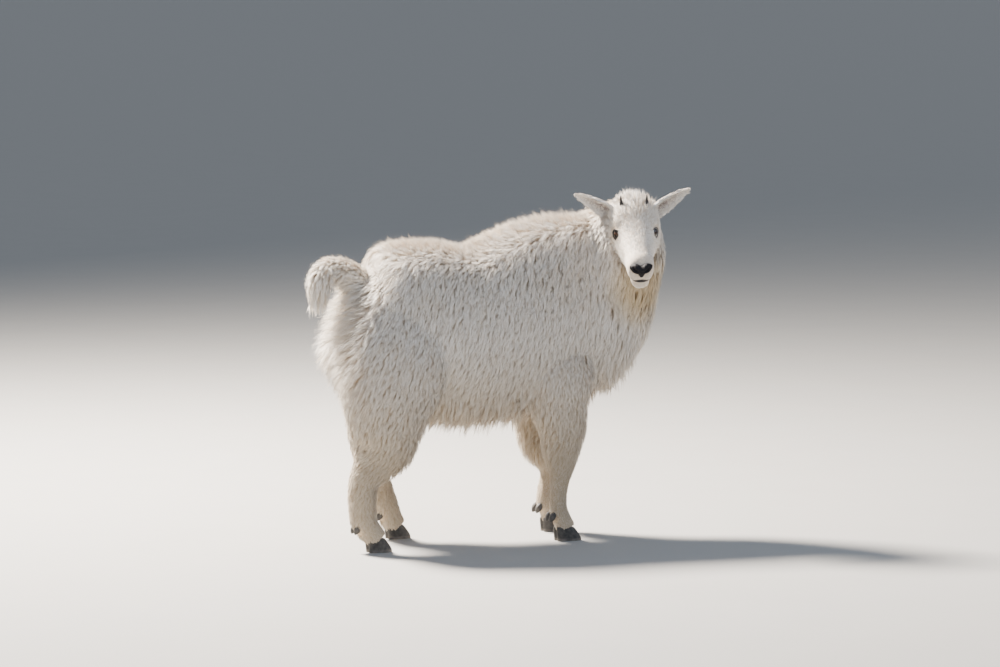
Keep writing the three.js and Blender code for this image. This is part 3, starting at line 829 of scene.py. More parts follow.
class Hide:
    """A haired surface with the lie, depth and style of its coat on every vertex."""

    def __init__(self, mesh):
        mesh.calc_loop_triangles()
        count = len(mesh.loop_triangles)
        self.places, self.normals = vertex_data(mesh)
        self.corners = np.empty(count * 3, np.int32)
        mesh.loop_triangles.foreach_get("vertices", self.corners)
        self.corners = self.corners.reshape(-1, 3)
        loops = np.empty(count * 3, np.int32)
        mesh.loop_triangles.foreach_get("loops", loops)
        maps = np.empty(len(mesh.loops) * 2)
        mesh.uv_layers["OFBake"].data.foreach_get("uv", maps)
        self.maps = maps.reshape(-1, 2)[loops.reshape(-1, 3)]
        a, b, c = (self.places[self.corners[:, k]] for k in range(3))
        self.areas = np.linalg.norm(np.cross(b - a, c - a), axis=1) / 2
        edges = np.empty(len(mesh.edges) * 2, np.int32)
        mesh.edges.foreach_get("vertices", edges)
        self.edges = edges.reshape(-1, 2)
        self.tree = search_tree(self.places)
        self.limb = None
        self.density = None
        self.values = {}

    def on(self, *names):
        """Which vertices belong to these limbs."""
        return np.isin(self.limb, [LIMB_NAMES.index(name) for name in names])

    def soften(self, values, rounds):
        """Values averaged with those of neighbouring vertices."""
        values = np.asarray(values, float)
        flat = values.reshape(len(values), -1)
        a, b = self.edges.T
        ends, others = np.concatenate([a, b]), np.concatenate([b, a])
        share = np.bincount(ends, minlength=len(flat))[:, None] + 1
        for _ in range(rounds):
            sums = [np.bincount(ends, column[others], len(flat)) for column in flat.T]
            flat = (flat + np.column_stack(sums)) / share
        return flat.reshape(values.shape)

    def scatter(self, density, random, count=None):
        """Evenly scattered roots with the values of their place; density is in roots per square metre."""
        total = np.cumsum(self.areas * density[self.corners].mean(axis=1))
        count = count or int(total[-1])
        where = (np.arange(count) + random.random(count)) / count * total[-1]
        found = np.minimum(np.searchsorted(total, where), len(total) - 1)
        u, v = random.random((2, count))
        over = u + v > 1
        u[over], v[over] = 1 - u[over], 1 - v[over]
        shares = np.column_stack([1 - u - v, u, v])
        corners = self.corners[found]

        def mix(data):
            return np.einsum("nk,nk...->n...", shares, data[corners])

        roots = {name: mix(data) for name, data in self.values.items()}
        roots["place"] = mix(self.places)
        roots["normal"] = unit(mix(self.normals))
        roots["lie"] = unit(roots["lie"])
        roots["map"] = np.einsum("nk,nkd->nd", shares, self.maps[found])
        return roots

    def walk(self, roots, reach, steps):
        """The way that hair of this reach takes over the skin: places and normals at even steps."""
        place, normal, lie = roots["place"], roots["normal"], roots["lie"]
        places, normals = [place], [normal]
        for _ in range(steps):
            ahead = place + lie * (reach / steps)[:, None]
            near = nearest(self.tree, ahead)
            turned = self.normals[near]
            # Hair follows the body, but hangs free where the body turns under.
            free = smoothstep(-turned[:, 2], 0.15, 0.7)[:, None]
            above = np.sum((ahead - self.places[near]) * turned, axis=1, keepdims=True)
            place = ahead - turned * above * (1 - free)
            normal = unit(normal * free + turned * (1 - free))
            flow = self.values["lie"][near] * (1 - free) + (lie + np.array([0, 0, -0.6])) * free
            lie = unit(0.5 * lie + flow)
            lie = unit(lie - normal * np.sum(lie * normal, axis=1, keepdims=True) * (1 - free))
            places.append(place)
            normals.append(normal)
        return np.stack(places, axis=1), np.stack(normals, axis=1)


def search_tree(points):
    """A search tree over points."""
    tree = KDTree(len(points))
    for index, point in enumerate(points):
        tree.insert(point, index)
    tree.balance()
    return tree


def nearest(tree, places):
    """The index of the point nearest to each place."""
    return np.array([tree.find(place)[1] for place in places])


def body_lie(_points, normals, _along):
    """Hair of the trunk: back along the ridge, down and back over the sides, back under the belly."""
    top = smoothstep(normals[:, 2], 0.45, 0.95)
    under = np.maximum(0, -normals[:, 2])
    return np.column_stack([-0.42 - 0.5 * top, 0 * top, -0.9 + 1.2 * top + 0.5 * under])


def neck_lie(_points, normals, _along):
    """Hair of the neck: back over the top, down over the sides and the throat."""
    top = smoothstep(normals[:, 2], 0.45, 0.95)
    return np.column_stack([-0.3 - 0.6 * top, 0 * top, -0.95 + 1.25 * top])


def leg_lie(_points, _normals, along):
    """Hair of a leg: down it, and a little to the back."""
    return along + np.array([-0.25, 0, 0])


def tail_lie(_points, _normals, along):
    """Hair of the tail: along it, hanging over its end."""
    return 0.8 * along + np.array([-0.05, 0, -0.4])


def head_lie(points, normals, _along):
    """Hair of the head: away from the nose, down over the cheeks, up over the poll."""
    forward = in_head(world(points))[:, 0]
    poll = smoothstep(-forward, 20, 60) * np.maximum(0, normals @ HEAD_UP)
    cheek = np.maximum(0, -normals @ HEAD_UP) + 0.25
    return -HEAD_AXIS + np.outer(poll, HEAD_UP) * 0.9 - np.outer(cheek, [0, 0, 0.7])


# The coat's style on each limb: strand length over the coat's depth, pull into tufts, sway, mess of
# the tufts' lie, how soon strands bend over, and strand width and tuft spacing in millimetres.
STYLE_FIELDS = ("ratio", "pull", "sway", "mess", "bend", "width", "spacing")
STYLES = {
    "torso": (1.9, 0.34, 1.0, 0.42, 2.6, 0.65, 3.8),
    "neck": (1.9, 0.34, 0.9, 0.34, 2.2, 0.65, 4),
    "tail": (4.2, 0.3, 0.6, 0.16, 1.9, 0.7, 5),
    "skull": (2.2, 0.25, 0.15, 0.14, 2.2, 0.45, 3.5),
    "chin": (2.6, 0.25, 0.15, 0.1, 2.0, 0.45, 3.5),
    "foreleg": (2.0, 0.3, 0.7, 0.24, 2.4, 0.6, 4),
    "hindleg": (2.0, 0.3, 0.8, 0.28, 2.4, 0.65, 4.5),
}
RIDGE_STYLE = (1.12, 0.3, 0.4, 0.3, 1.12, 0.6, 5)
LOWER_LEG_STYLE = (2.0, 0.25, 0.2, 0.1, 2.6, 0.5, 3.5)
STYLE_LIES = {
    "torso": body_lie,
    "neck": neck_lie,
    "tail": tail_lie,
    "skull": head_lie,
    "chin": head_lie,
    "foreleg": leg_lie,
    "hindleg": leg_lie,
}


def guides():
    """Points over every limb with the lie, depth and style of the coat there."""
    found = []
    for number, (name, limb) in enumerate(LIMBS.items()):
        kind = name.split("_")[0]
        t, angle = (a.ravel() for a in limb.grid(*RING_GRIDS.get(name, LEG_GRID)))
        step = 0.01
        points = limb.point(t, angle)
        ahead = limb.point(np.minimum(1, t + step), angle) - limb.point(np.maximum(0, t - step), angle)
        normals = unit(np.cross(limb.point(t, angle + step) - limb.point(t, angle - step), ahead))
        lie = unit(STYLE_LIES[kind](points, normals, limb.axes(t)[0]))
        rows = [world(points), lie, limb.depth(t, angle)[:, None] * MM]
        rows.append(np.tile([*STYLES[kind], number], (len(t), 1)))
        found.append(np.hstack(rows))
    return np.vstack(found)


# Metres above the ground over which the coat begins to stand up on the ridge and on the buttocks, the
# tail's end begins to hang, and the legs' hair gets longer.
RIDGE_LEVEL = (0.4, 0.45)
BUTTOCK_LEVEL = (0.22, 0.36)
TAIL_LEVEL = (0.44, 0.47)
LEG_LEVEL = (0.13, 0.19)
# Metres behind the middle of the model where the buttocks begin.
BUTTOCK_PLACE = (0.2, 0.24)
# Added shares of the coat's depth on the buttocks and on the tail.
BUTTOCK_DEPTH = 2.0
TAIL_DEPTH = 0.25
# Each vertex takes its coat from this many guides.
GUIDES_NEAR = 4


def buttocks(hide):
    """Where the buttocks' long hair grows, from 0 to 1."""
    back = smoothstep(-hide.normals[:, 0], 0.3, 0.75) * smoothstep(-hide.places[:, 0], *BUTTOCK_PLACE)
    back *= smoothstep(hide.places[:, 2], *BUTTOCK_LEVEL)
    return hide.soften(back * ~hide.on("tail"), 3)


def standing(hide, rear):
    """How far the coat stands up, from 0 to 1, on ridge, poll, buttocks and tail."""
    ridge = smoothstep(hide.normals[:, 2], 0.6, 0.92) * smoothstep(hide.places[:, 2], *RIDGE_LEVEL)
    ridge *= ~hide.on("skull", "chin", "tail")
    poll = smoothstep(-in_head(hide.places)[:, 0], 14, 34) * smoothstep(hide.normals @ HEAD_UP, 0.1, 0.6)
    ridge = np.maximum(ridge, poll * hide.on("skull"))
    # The tail stands up too, but its end hangs in longer hair.
    hanging = fall(hide.places[:, 2], *TAIL_LEVEL)
    tail = hide.on("tail") * (0.9 - 0.65 * hanging)
    return hide.soften(np.maximum(ridge, np.maximum(rear, tail)), 3)


def comb(hide):
    """Gives each vertex of the skin the coat of the guides nearest to it."""
    rows = guides()
    tree = search_tree(rows[:, :3])
    hits = [tree.find_n(place, GUIDES_NEAR) for place in hide.places]
    near = np.array([[hit[1] for hit in found] for found in hits])
    weight = 1 / (np.array([[hit[2] for hit in found] for found in hits]) + 1e-4) ** 2
    weight /= weight.sum(axis=1, keepdims=True)
    mixed = hide.soften(np.einsum("nk,nkd->nd", weight, rows[near][:, :, 3:-1]), 10)
    hide.limb = rows[near[:, 0], -1].astype(int)
    rear = buttocks(hide)
    depth = mixed[:, 3] * (1 + BUTTOCK_DEPTH * rear + TAIL_DEPTH * hide.on("tail"))
    hide.values = {"lie": flat_on(mixed[:, :3], hide.normals), "depth": depth}
    stand = standing(hide, rear)
    lower = fall(hide.places[:, 2], *LEG_LEVEL)
    for name, value, upright, short in zip(STYLE_FIELDS, mixed[:, 4:].T, RIDGE_STYLE, LOWER_LEG_STYLE):
        value = value + (upright - value) * stand
        hide.values[name] = value + (short - value) * lower
    hide.values["width"] *= MM
    hide.values["spacing"] *= MM
    length = hide.values["depth"] * hide.values["ratio"]
    hide.density = haired(hide.places) / (hide.values["width"] * np.maximum(length, 6 * MM))


# Dewclaws: share of the way down the leg, place back from, beside and below it, half sizes, and lean.
DEWCLAW_SHARE = 0.83
DEWCLAW_PLACE = (-18, 8.5, -4)
DEWCLAW_SIZE = (6, 5.4, 10)
DEWCLAW_LEAN = 0.5


def dewclaw_places():
    """The middle of every dewclaw, in design millimetres."""
    back, beside, below = DEWCLAW_PLACE
    found = []
    for leg in LEGS:
        for word, side in SIDES.items():
            x, y, z = spline(LIMBS[f"{leg}_{word}"].at, DEWCLAW_SHARE)
            found += [(x + back, y + side * toe * beside, z + below) for toe in (-1, 1)]
    return np.array(found)


# No hair grows within these millimetres of eyes, horns, the middles of nose pad and mouth, and
# dewclaws, and it hangs this far over the hooves.
EYE_CLEARANCE = 3.0
HORN_CLEARANCE = 6.5
NOSE_CLEARANCE = (13, 20, 10)
MOUTH_FORWARD = 110
MOUTH_CLEARANCE = (14, 15, 5.5)
DEWCLAW_CLEARANCE = 11
HOOF_OVERHANG = 4


def haired(places):
    """1 where hair grows, 0 on the eyes, the nose pad, the lips and under the horns and hooves."""
    head = in_head(places)
    grown = np.ones(len(places))
    for side in (1, -1):
        eye = np.linalg.norm(head - eye_centre(side), axis=1)
        grown[eye < EYE["radius"] + EYE_CLEARANCE] = 0
        # The bare place of a horn is drawn out along it.
        horn = np.linalg.norm((head - sided(HORN_ROOT, side)) * np.array([1, 1, 0.6]), axis=1)
        grown[horn < HORN_CLEARANCE] = 0
    pad = ovals(places, (NOSE["forward"], 0, NOSE["up"]), NOSE_CLEARANCE)
    mouth = ovals(places, (MOUTH_FORWARD, 0, MOUTH_HEIGHT), MOUTH_CLEARANCE)
    grown[(pad < 1) | (mouth < 1)] = 0
    claws = world(dewclaw_places())
    grown[np.linalg.norm(places[:, None] - claws[None], axis=2).min(axis=1) < DEWCLAW_CLEARANCE * MM] = 0
    grown[places[:, 2] < (HOOF_HEIGHT - HOOF_OVERHANG) * MM] = 0
    return grown


def reach_of(roots, length):
    """How far a strand of this length runs along the skin."""
    depth = roots["depth"]
    return np.sqrt(np.maximum(length**2 - depth**2, (0.45 * depth) ** 2))


def tufts_of(hide, random, levels):
    """The bent middle lines of the tufts that strands are drawn to."""
    tufts = hide.scatter(np.where(hide.density > 0, 1 / hide.values["spacing"] ** 2, 0), random)
    count = len(tufts["place"])
    tufts["lie"] = unit(tufts["lie"] + tufts["mess"][:, None] * random.normal(size=(count, 3)))
    length = tufts["depth"] * tufts["ratio"] * (0.85 + 0.35 * random.random(count))
    places, normals = hide.walk(tufts, reach_of(tufts, length), levels - 1)
    tufts["places"], tufts["normals"] = places, normals
    tufts["high"] = tufts["depth"] * (0.62 + 0.4 * random.random(count))
    tufts["phase"] = random.random(count)
    tufts["shade"] = random.random(count)
    return tufts


# Shares of the strands: strays that leave their tuft, more strays where hair stands up, and underwool.
STRAYS = 0.06
STANDING_STRAYS = 0.08
UNDERWOOL = 0.1
# Strands start this far under the skin, in metres.
ROOT_DEPTH = 0.0012


def grow(roots, tufts, near, random, curl, levels):
    """The bent middle lines of strands, each drawn towards the tuft it belongs to."""
    count = len(near)
    shares = np.linspace(0, 1, levels)
    rise = 1 - (1 - shares[None]) ** roots["bend"][:, None]
    # Where hair stands up its tips are uneven.
    stand = fall(roots["bend"], 1.2, 1.8)
    stray = random.random(count) < STRAYS + STANDING_STRAYS * stand
    # Underwool is short, broad and unparted, and closes the coat below its tips.
    wool = random.random(count) < UNDERWOOL
    high = 0.5 * roots["depth"] * (0.75 + 0.3 * random.random(count)) + 0.5 * tufts["high"][near]
    high = high * (1 + stand * (0.5 * random.random(count) ** 2 - 0.15))
    high = high * np.where(wool, 0.5, np.where(stray, 1.2, 1.0))
    roots["width"] = roots["width"] * np.where(wool, 2.4, np.where(stray, 0.7, 1.0))
    longer = (0.85 + 0.25 * random.random(count)) * np.where(wool, 0.8, 1.0)
    way = tufts["places"][near] - tufts["places"][near][:, :1]
    normals = tufts["normals"][near]
    own = roots["place"][:, None] + way * longer[:, None, None] + normals * (high[:, None] * rise)[..., None]
    own -= roots["normal"][:, None] * ROOT_DEPTH
    tuft = tufts["places"][near] + normals * (tufts["high"][near][:, None] * rise)[..., None]
    pull = roots["pull"] * np.where(stray | wool, 0.25, 1.0) * (0.7 + 0.5 * random.random(count))
    made = own + (tuft - own) * (pull[:, None] * shares**1.3)[..., None]
    side = np.cross(roots["normal"], roots["lie"])
    phase = 2 * np.pi * (tufts["phase"][near] + 0.3 * random.random(count))
    turn = np.sin(2 * np.pi * shares[None] * 1.1 + phase[:, None]) - np.sin(phase)[:, None]
    sway = np.minimum(curl, 0.14 * roots["depth"]) * roots["sway"]
    return made + side[:, None] * (sway[:, None] * turn * shares[None] ** 0.7)[..., None]


def ribbons(name, lines, roots, random, material):
    """Tapered flat strands along their middle lines, as one mesh."""
    count, levels, _ = lines.shape
    shares = np.linspace(0, 1, levels)
    forward = unit(np.gradient(lines, axis=1))
    across = unit(np.cross(forward, roots["normal"][:, None]))
    outward = np.cross(across, forward)
    roll = (random.random(count) - 0.5)[:, None, None]
    across = across * np.cos(roll) + outward * np.sin(roll)
    taper = np.interp(shares, [0, 0.35, 0.75, 1], [0.8, 1, 0.65, 0])
    half = roots["width"] * (0.4 + 0.25 * random.random(count))
    wide = across * (half[:, None] * taper)[..., None]
    sides = np.stack([lines - wide, lines + wide], axis=2)[:, :-1].reshape(count, -1, 3)
    verts = np.concatenate([sides, lines[:, -1:]], axis=1)
    per = verts.shape[1]
    quads = [(2 * k, 2 * k + 1, 2 * k + 3, 2 * k + 2) for k in range(levels - 2)]
    corners = np.array([v for quad in quads for v in quad] + [per - 3, per - 2, per - 1])
    loops = (np.arange(count)[:, None] * per + corners).ravel()
    sizes = np.tile([4] * len(quads) + [3], count)
    mesh = bpy.data.meshes.new(name)
    mesh.vertices.add(count * per)
    mesh.vertices.foreach_set("co", verts.ravel())
    mesh.loops.add(len(loops))
    mesh.loops.foreach_set("vertex_index", loops.astype(np.int32))
    mesh.polygons.add(len(sizes))
    mesh.polygons.foreach_set("loop_start", (np.cumsum(sizes) - sizes).astype(np.int32))
    mesh.update(calc_edges=True)
    along = np.concatenate([np.repeat(shares[:-1], 2), shares[-1:]])
    set_attribute(mesh, "along", np.tile(along, count))
    set_attribute(mesh, "tint", np.repeat(roots["tint"], per))
    offset = np.column_stack([np.append(np.tile([-0.5, 0.5], levels - 1), 0), along - 0.5]) * 0.003
    maps = roots["map"][:, None] + offset
    layer = mesh.uv_layers.new(name="OFBake")
    layer.data.foreach_set("uv", np.clip(maps[:, corners], 0, 1).ravel())
    mesh.shade_smooth()
    add_object(name, mesh, [material], "coat")


# Coat pieces: the limbs whose hair they hold, the side of the trunk they cover (0 is its top), their
# strands in thousands, and the number of points along a strand.
COAT_PIECES = {
    "coat_flank_right": (("torso",), -1, 38, 4),
    "coat_flank_left": (("torso",), 1, 38, 4),
    "coat_ridge": (("torso",), 0, 26, 4),
    "coat_neck": (("neck",), None, 38, 4),
    "coat_head": (("skull", "chin"), None, 58, 3),
    "coat_tail": (("tail",), None, 13, 4),
    "coat_forelegs": (("foreleg_right", "foreleg_left"), None, 60, 3),
    "coat_hindleg_right": (("hindleg_right",), None, 50, 3),
    "coat_hindleg_left": (("hindleg_left",), None, 50, 3),
}


# The top of the trunk is where its normal rises at least this much.
TOP_RISE = 0.62


def piece_mask(hide, names, split):
    """Which vertices of the skin a coat piece grows from."""
    inside = hide.on(*names)
    if split is None:
        return inside
    top = hide.normals[:, 2] > TOP_RISE
    if split == 0:
        return inside & top
    return inside & ~top & (hide.places[:, 1] * split > SHIFT.y * MM * split)


def make_coat(hide, settings):
    """Covers the skin with strands in tapered tufts, in pieces by limb."""
    random = np.random.default_rng(settings.seed)
    material = hair_material()
    for levels in (3, 4):
        tufts = tufts_of(hide, random, levels)
        tree = search_tree(tufts["place"])
        for name, (limbs, split, strands, points) in COAT_PIECES.items():
            if points != levels:
                continue
            weights = hide.density * piece_mask(hide, limbs, split)
            roots = hide.scatter(weights, random, int(strands * 1000 * settings.density))
            roots["width"] = roots["width"] * settings.width
            near = nearest(tree, roots["place"])
            roots["tint"] = 0.6 * tufts["shade"][near] + 0.4 * random.random(len(near))
            lines = grow(roots, tufts, near, random, settings.curl, levels)
            ribbons(name, lines, roots, random, material)


# Ears in the head's frame: the base, the way they grow and the way their cups face.
EAR_BASE = (-36, 31, 8)
EAR_ALONG = (-0.3, 0.83, 0.53)
EAR_FACE = (0.9, 0.25, -0.15)
# The ear's outline: share of its length, half width and depth of the cup.
EAR_OUTLINE = np.array(
    [
        (0, 12, 7),
        (0.12, 16, 9),
        (0.35, 17.5, 9.5),
        (0.6, 13.5, 6.5),
        (0.82, 8.5, 3.5),
        (0.96, 4.5, 1.5),
        (1, 2.2, 0.6),
    ]
)
EAR_WALL = 1.2
# Its base is sunk this far in the head, and its tip droops this far.
EAR_SUNK = 8
EAR_DROOP = 7
EAR_ROWS = 26
EAR_COLUMNS = 15
EAR_STYLE = {"pull": 0.4, "sway": 0.3, "mess": 0.1, "bend": 2.2, "width": 0.5 * MM, "spacing": 4 * MM}
EAR_STRANDS = 26_000


def ear_rings(side):
    """An ear as cupped sections from base to tip, in metres, the outer face first."""
    along = unit(sided(EAR_ALONG, side))
    face = sided(EAR_FACE, side)
    face = unit(face - along * (face @ along))
    across = np.cross(face, along)
    v = np.linspace(-1, 1, EAR_COLUMNS)
    rings = []
    for share in np.linspace(0, 1, EAR_ROWS):
        x, wide, deep = spline(EAR_OUTLINE, share)
        centre = sided(EAR_BASE, side) + along * x * (EAR_LENGTH + EAR_SUNK)
        centre = centre - np.array([0, 0, EAR_DROOP * x**3])
        # A fold runs up the front edge, and the rim rolls inwards.
        cup = deep * (1 - v**2) + 1.6 * np.exp(-(((v - 0.55) / 0.12) ** 2)) * (1 - x)
        outer = centre + np.outer(v * wide, across) + np.outer(-cup - EAR_WALL, face)
        inner = centre + np.outer(v * wide * 0.9, across) + np.outer(-cup + EAR_WALL, face)
        rings.append(from_head(np.vstack([outer, inner[::-1]])))
    return rings


def make_ears():
    """Both ears, cupped, with the share of bare hollow on every vertex."""
    bm = bmesh.new()
    for side in (1, -1):
        loft(bm, ear_rings(side))
    mesh = mesh_from(bm, "ears")
    v = np.linspace(-1, 1, EAR_COLUMNS)
    hollow = np.concatenate([np.zeros(EAR_COLUMNS), (1 - v**2)[::-1] ** 0.7])
    length = np.linspace(0, 1, EAR_ROWS)
    inner = np.outer(1 - 0.75 * smoothstep(length, 0.3, 1.0), hollow).ravel()
    facing = np.tile(hollow > 0, EAR_ROWS).astype(float)
    rim = facing * (1 - np.tile(hollow, EAR_ROWS))
    set_attribute(mesh, "inner", np.tile(inner, 2))
    unwrap(mesh)
    add_object("ears", mesh, [ear_material()], "coat", "ear_left", "ear_right")
    return np.tile(facing, 2), np.tile(rim, 2)


def ear_coat(facing, rim, settings):
    """Short hair outside the ears, and a fringe inside their rims."""
    hide = Hide(bpy.data.objects["ears"].data)
    random = np.random.default_rng(settings.seed + 1)
    left = in_head(hide.places)[:, 1] > 0
    lie = np.where(left[:, None], sided(EAR_ALONG, 1), sided(EAR_ALONG, -1)) @ HEAD_FRAME.T
    hide.values = {name: np.full(len(left), value) for name, value in EAR_STYLE.items()}
    hide.values["lie"] = flat_on(lie, hide.normals)
    hide.values["depth"] = (2.2 + 1.3 * rim - 0.8 * facing * (1 - rim)) * MM
    hide.values["ratio"] = 2.8 + 1.4 * rim
    hide.density = 1.0 * (1 - facing) + 1.1 * rim * facing + 0.22 * facing
    tufts = tufts_of(hide, random, 3)
    roots = hide.scatter(hide.density, random, int(EAR_STRANDS * settings.density))
    near = nearest(search_tree(tufts["place"]), roots["place"])
    roots["tint"] = 0.6 + 0.4 * random.random(len(near))
    lines = grow(roots, tufts, near, random, settings.curl, 3)
    ribbons("coat_ears", lines, roots, random, bpy.data.materials["winter_goat_hair"])


# The way the left eye looks, in the head's frame.
LOOK = (0.66, 0.75, 0.06)


def make_eyes():
    """Both eyeballs, each with a bulging cornea and a level pupil."""
    bm = bmesh.new()
    layer = bm.loops.layers.uv.new("Iris")
    for side in (1, -1):
        centre = Vector(world(eye_place(side)))
        look = (HEAD.to_3x3() @ Vector(sided(LOOK, side))).normalized()
        up = Vector(HEAD_UP)
        level = look.cross(up).normalized()
        up = level.cross(look)
        made = bmesh.ops.create_uvsphere(bm, u_segments=32, v_segments=20, radius=EYE["radius"] * MM)["verts"]
        bmesh.ops.translate(bm, verts=made, vec=centre)
        for vert in made:
            away = vert.co - centre
            facing = away.normalized().dot(look)
            vert.co += away * 0.06 * max(0, (facing - 0.72) / 0.28) ** 1.5
        for face in {face for vert in made for face in vert.link_faces}:
            for loop in face.loops:
                away = (loop.vert.co - centre) / (EYE["radius"] * MM)
                loop[layer].uv = (away.dot(level), away.dot(up)) if away.dot(look) > 0 else (1, 1)
    add_object("eyes", mesh_from(bm, "eyes"), [eye_material()], "eye", "eye_left", "eye_right")


LID_POINTS = 40
# The lids from the rim inside to the edge in the skin: spread over the ball, and height above it.
LID_PROFILE = [(1.0, -0.7), (1.02, 0.6), (1.08, 1.7), (1.2, 2.5), (1.38, 2.5), (1.75, 1.0), (2.3, -2.4)]
# Bands of the lids from the rim that are dark.
DARK_LID_BANDS = 4


def lid_ring(side, spread, height):
    """A ring of an eye's lids, spread over the ball at a height above its surface."""
    around = np.arange(LID_POINTS) * 2 * np.pi / LID_POINTS
    look = unit(sided(LOOK, side))
    level = unit(np.cross(look, [0, 0, 1.0]))
    up = np.cross(level, look)
    rise = np.sin(around)
    # The upper lid is rounder than the lower one, and both meet in a corner towards the nose.
    x = np.cos(around) * 1.3
    z = rise * np.where(rise > 0, 0.98, 0.8) * (1 - 0.18 * np.cos(around) ** 2)
    towards = unit(look + (np.outer(x, level) + np.outer(z, up)) * spread)
    return from_head(eye_centre(side) + towards * (EYE["radius"] + height))


def make_lids():
    """Lids round each eye: a dark moist rim and a haired fold that runs into the skin."""
    bm = bmesh.new()
    for side in (1, -1):
        last = None
        for number, (spread, height) in enumerate(LID_PROFILE):
            made = bmesh.ops.create_circle(bm, segments=LID_POINTS, radius=1.0)["verts"]
            for vert, point in zip(made, lid_ring(side, spread, height)):
                vert.co = point
            edges = list({edge for vert in made for edge in vert.link_edges})
            if last is not None:
                for face in bmesh.ops.bridge_loops(bm, edges=last + edges)["faces"]:
                    face.material_index = 0 if number <= DARK_LID_BANDS else 1
            last = edges
    bmesh.ops.recalc_face_normals(bm, faces=bm.faces)
    mesh = bpy.data.meshes.new("lids")
    bm.to_mesh(mesh)
    bm.free()
    places, normals = vertex_data(mesh)
    left = in_head(places)[:, 1] > 0
    centre = np.where(left[:, None], world(eye_place(1)), world(eye_place(-1)))
    for part in (left, ~left):
        if np.sum(((places - centre) * normals)[part]) < 0:
            raise RuntimeError("a ring of lids is inside out")
    mesh.shade_smooth()
    set_attribute(mesh, "bare", np.zeros(len(mesh.vertices)))
    lids = add_object("lids", mesh, [lip_material(), bpy.data.materials["short_haired_hide"]], "coat")
    subdivided = lids.modifiers.new("subdivision", "SUBSURF")
    subdivided.levels = 1
    subdivided.render_levels = 1


# The nose pad seen from the front: its top and bottom edge at distances from the middle.
PAD_ACROSS = [0, 2.5, 6, 10, 14, 20]
PAD_TOP = [6.5, 7.3, 9.4, 10.2, 8.6, 4.2]
PAD_BOTTOM = [-17.5, -15.5, -8.6, -8.4, -7.4, -0.6]
# The middle of a nostril: out from the middle of the pad, and up.
NOSTRIL = (10.2, 1.2)


def make_nose():
    """The nose pad, with winged nostrils and the groove between them down to the lip."""
    bm = bmesh.new()
    bmesh.ops.create_uvsphere(bm, u_segments=96, v_segments=72, radius=1.0)
    x, y, z = np.array([vert.co for vert in bm.verts]).T
    tall = np.sqrt(np.maximum(1 - y**2, 1e-6))
    share = (np.clip(z / tall, -1, 1) + 1) / 2
    across = y * NOSE["wide"]
    away = np.abs(across)
    top = np.interp(away, PAD_ACROSS, PAD_TOP)
    bottom = np.interp(away, PAD_ACROSS, PAD_BOTTOM)
    height = bottom * (1 - share) + top * share
    deep = x * NOSE["deep"]
    # The pad leans back below, and its wings run back round the muzzle.
    deep = deep - 0.015 * away**2 + 0.16 * np.minimum(height + 4, 0)
    front = np.clip(x, 0, 1)
    # Each nostril slants up and out, a comma with its tail curling round the wing.
    beside, above = away - NOSTRIL[0], height - NOSTRIL[1]
    run = beside * 0.86 + above * 0.5
    width = -beside * 0.5 + above * 0.86 - 0.05 * run**2
    hollow = np.exp(-(((run / 5.6) ** 2 + (width / 2.3) ** 2) ** 1.5))
    wing = np.exp(-((run / 8.2) ** 2 + (width / 5.0) ** 2))
    deep += (1.5 * np.maximum(0, wing - hollow) - 4.4 * hollow) * front**0.4
    groove = np.exp(-((across / 0.9) ** 2)) * smoothstep(-height, -3, 3) * front
    deep -= 1.6 * groove
    placed = np.column_stack([deep + NOSE["forward"], across, height + NOSE["up"]])
    for vert, point in zip(bm.verts, from_head(placed)):
        vert.co = point
    add_object("nose_pad", mesh_from(bm, "nose_pad"), [nose_material()], "nose", "nose")


def face_tree(obj):
    """A search tree over a piece's faces."""
    bm = bmesh.new()
    bm.from_mesh(obj.data)
    tree = BVHTree.FromBMesh(bm)
    bm.free()
    return tree


def on_face(tree, start, direction):
    """The place and normal where a ray in the head's frame meets the skin."""
    turned = Vector(HEAD_FRAME @ np.asarray(direction)).normalized()
    begin = Vector(from_head([start])[0]) - turned * 0.03
    place, normal, _, _ = tree.ray_cast(begin, turned)
    if place is None:
        raise RuntimeError(f"a ray from {tuple(start)} misses the skin")
    return place, normal


TUBE_POINTS = 10


def tube(bm, line, radii, flat):
    """A tapered tube along a line of (place, normal); flat squeezes it along the normal."""
    turn = [2 * math.pi * k / TUBE_POINTS for k in range(TUBE_POINTS)]
    rings = []
    for index, (place, normal) in enumerate(line):
        ahead = line[min(index + 1, len(line) - 1)][0] - line[max(index - 1, 0)][0]
        ahead.normalize()
        across = ahead.cross(normal).normalized()
        out = across.cross(ahead)
        rings.append([place + (across * math.cos(a) + out * math.sin(a) * flat) * radii[index] for a in turn])
    loft(bm, rings)


# The line of the mouth: its front, how far it runs back and out, and how far below the mouth's middle.
LIP_POINTS = 49
LIP_FRONT = 120
LIP_BACK = 50
LIP_OUT = 30
LIP_DROP = 2.5


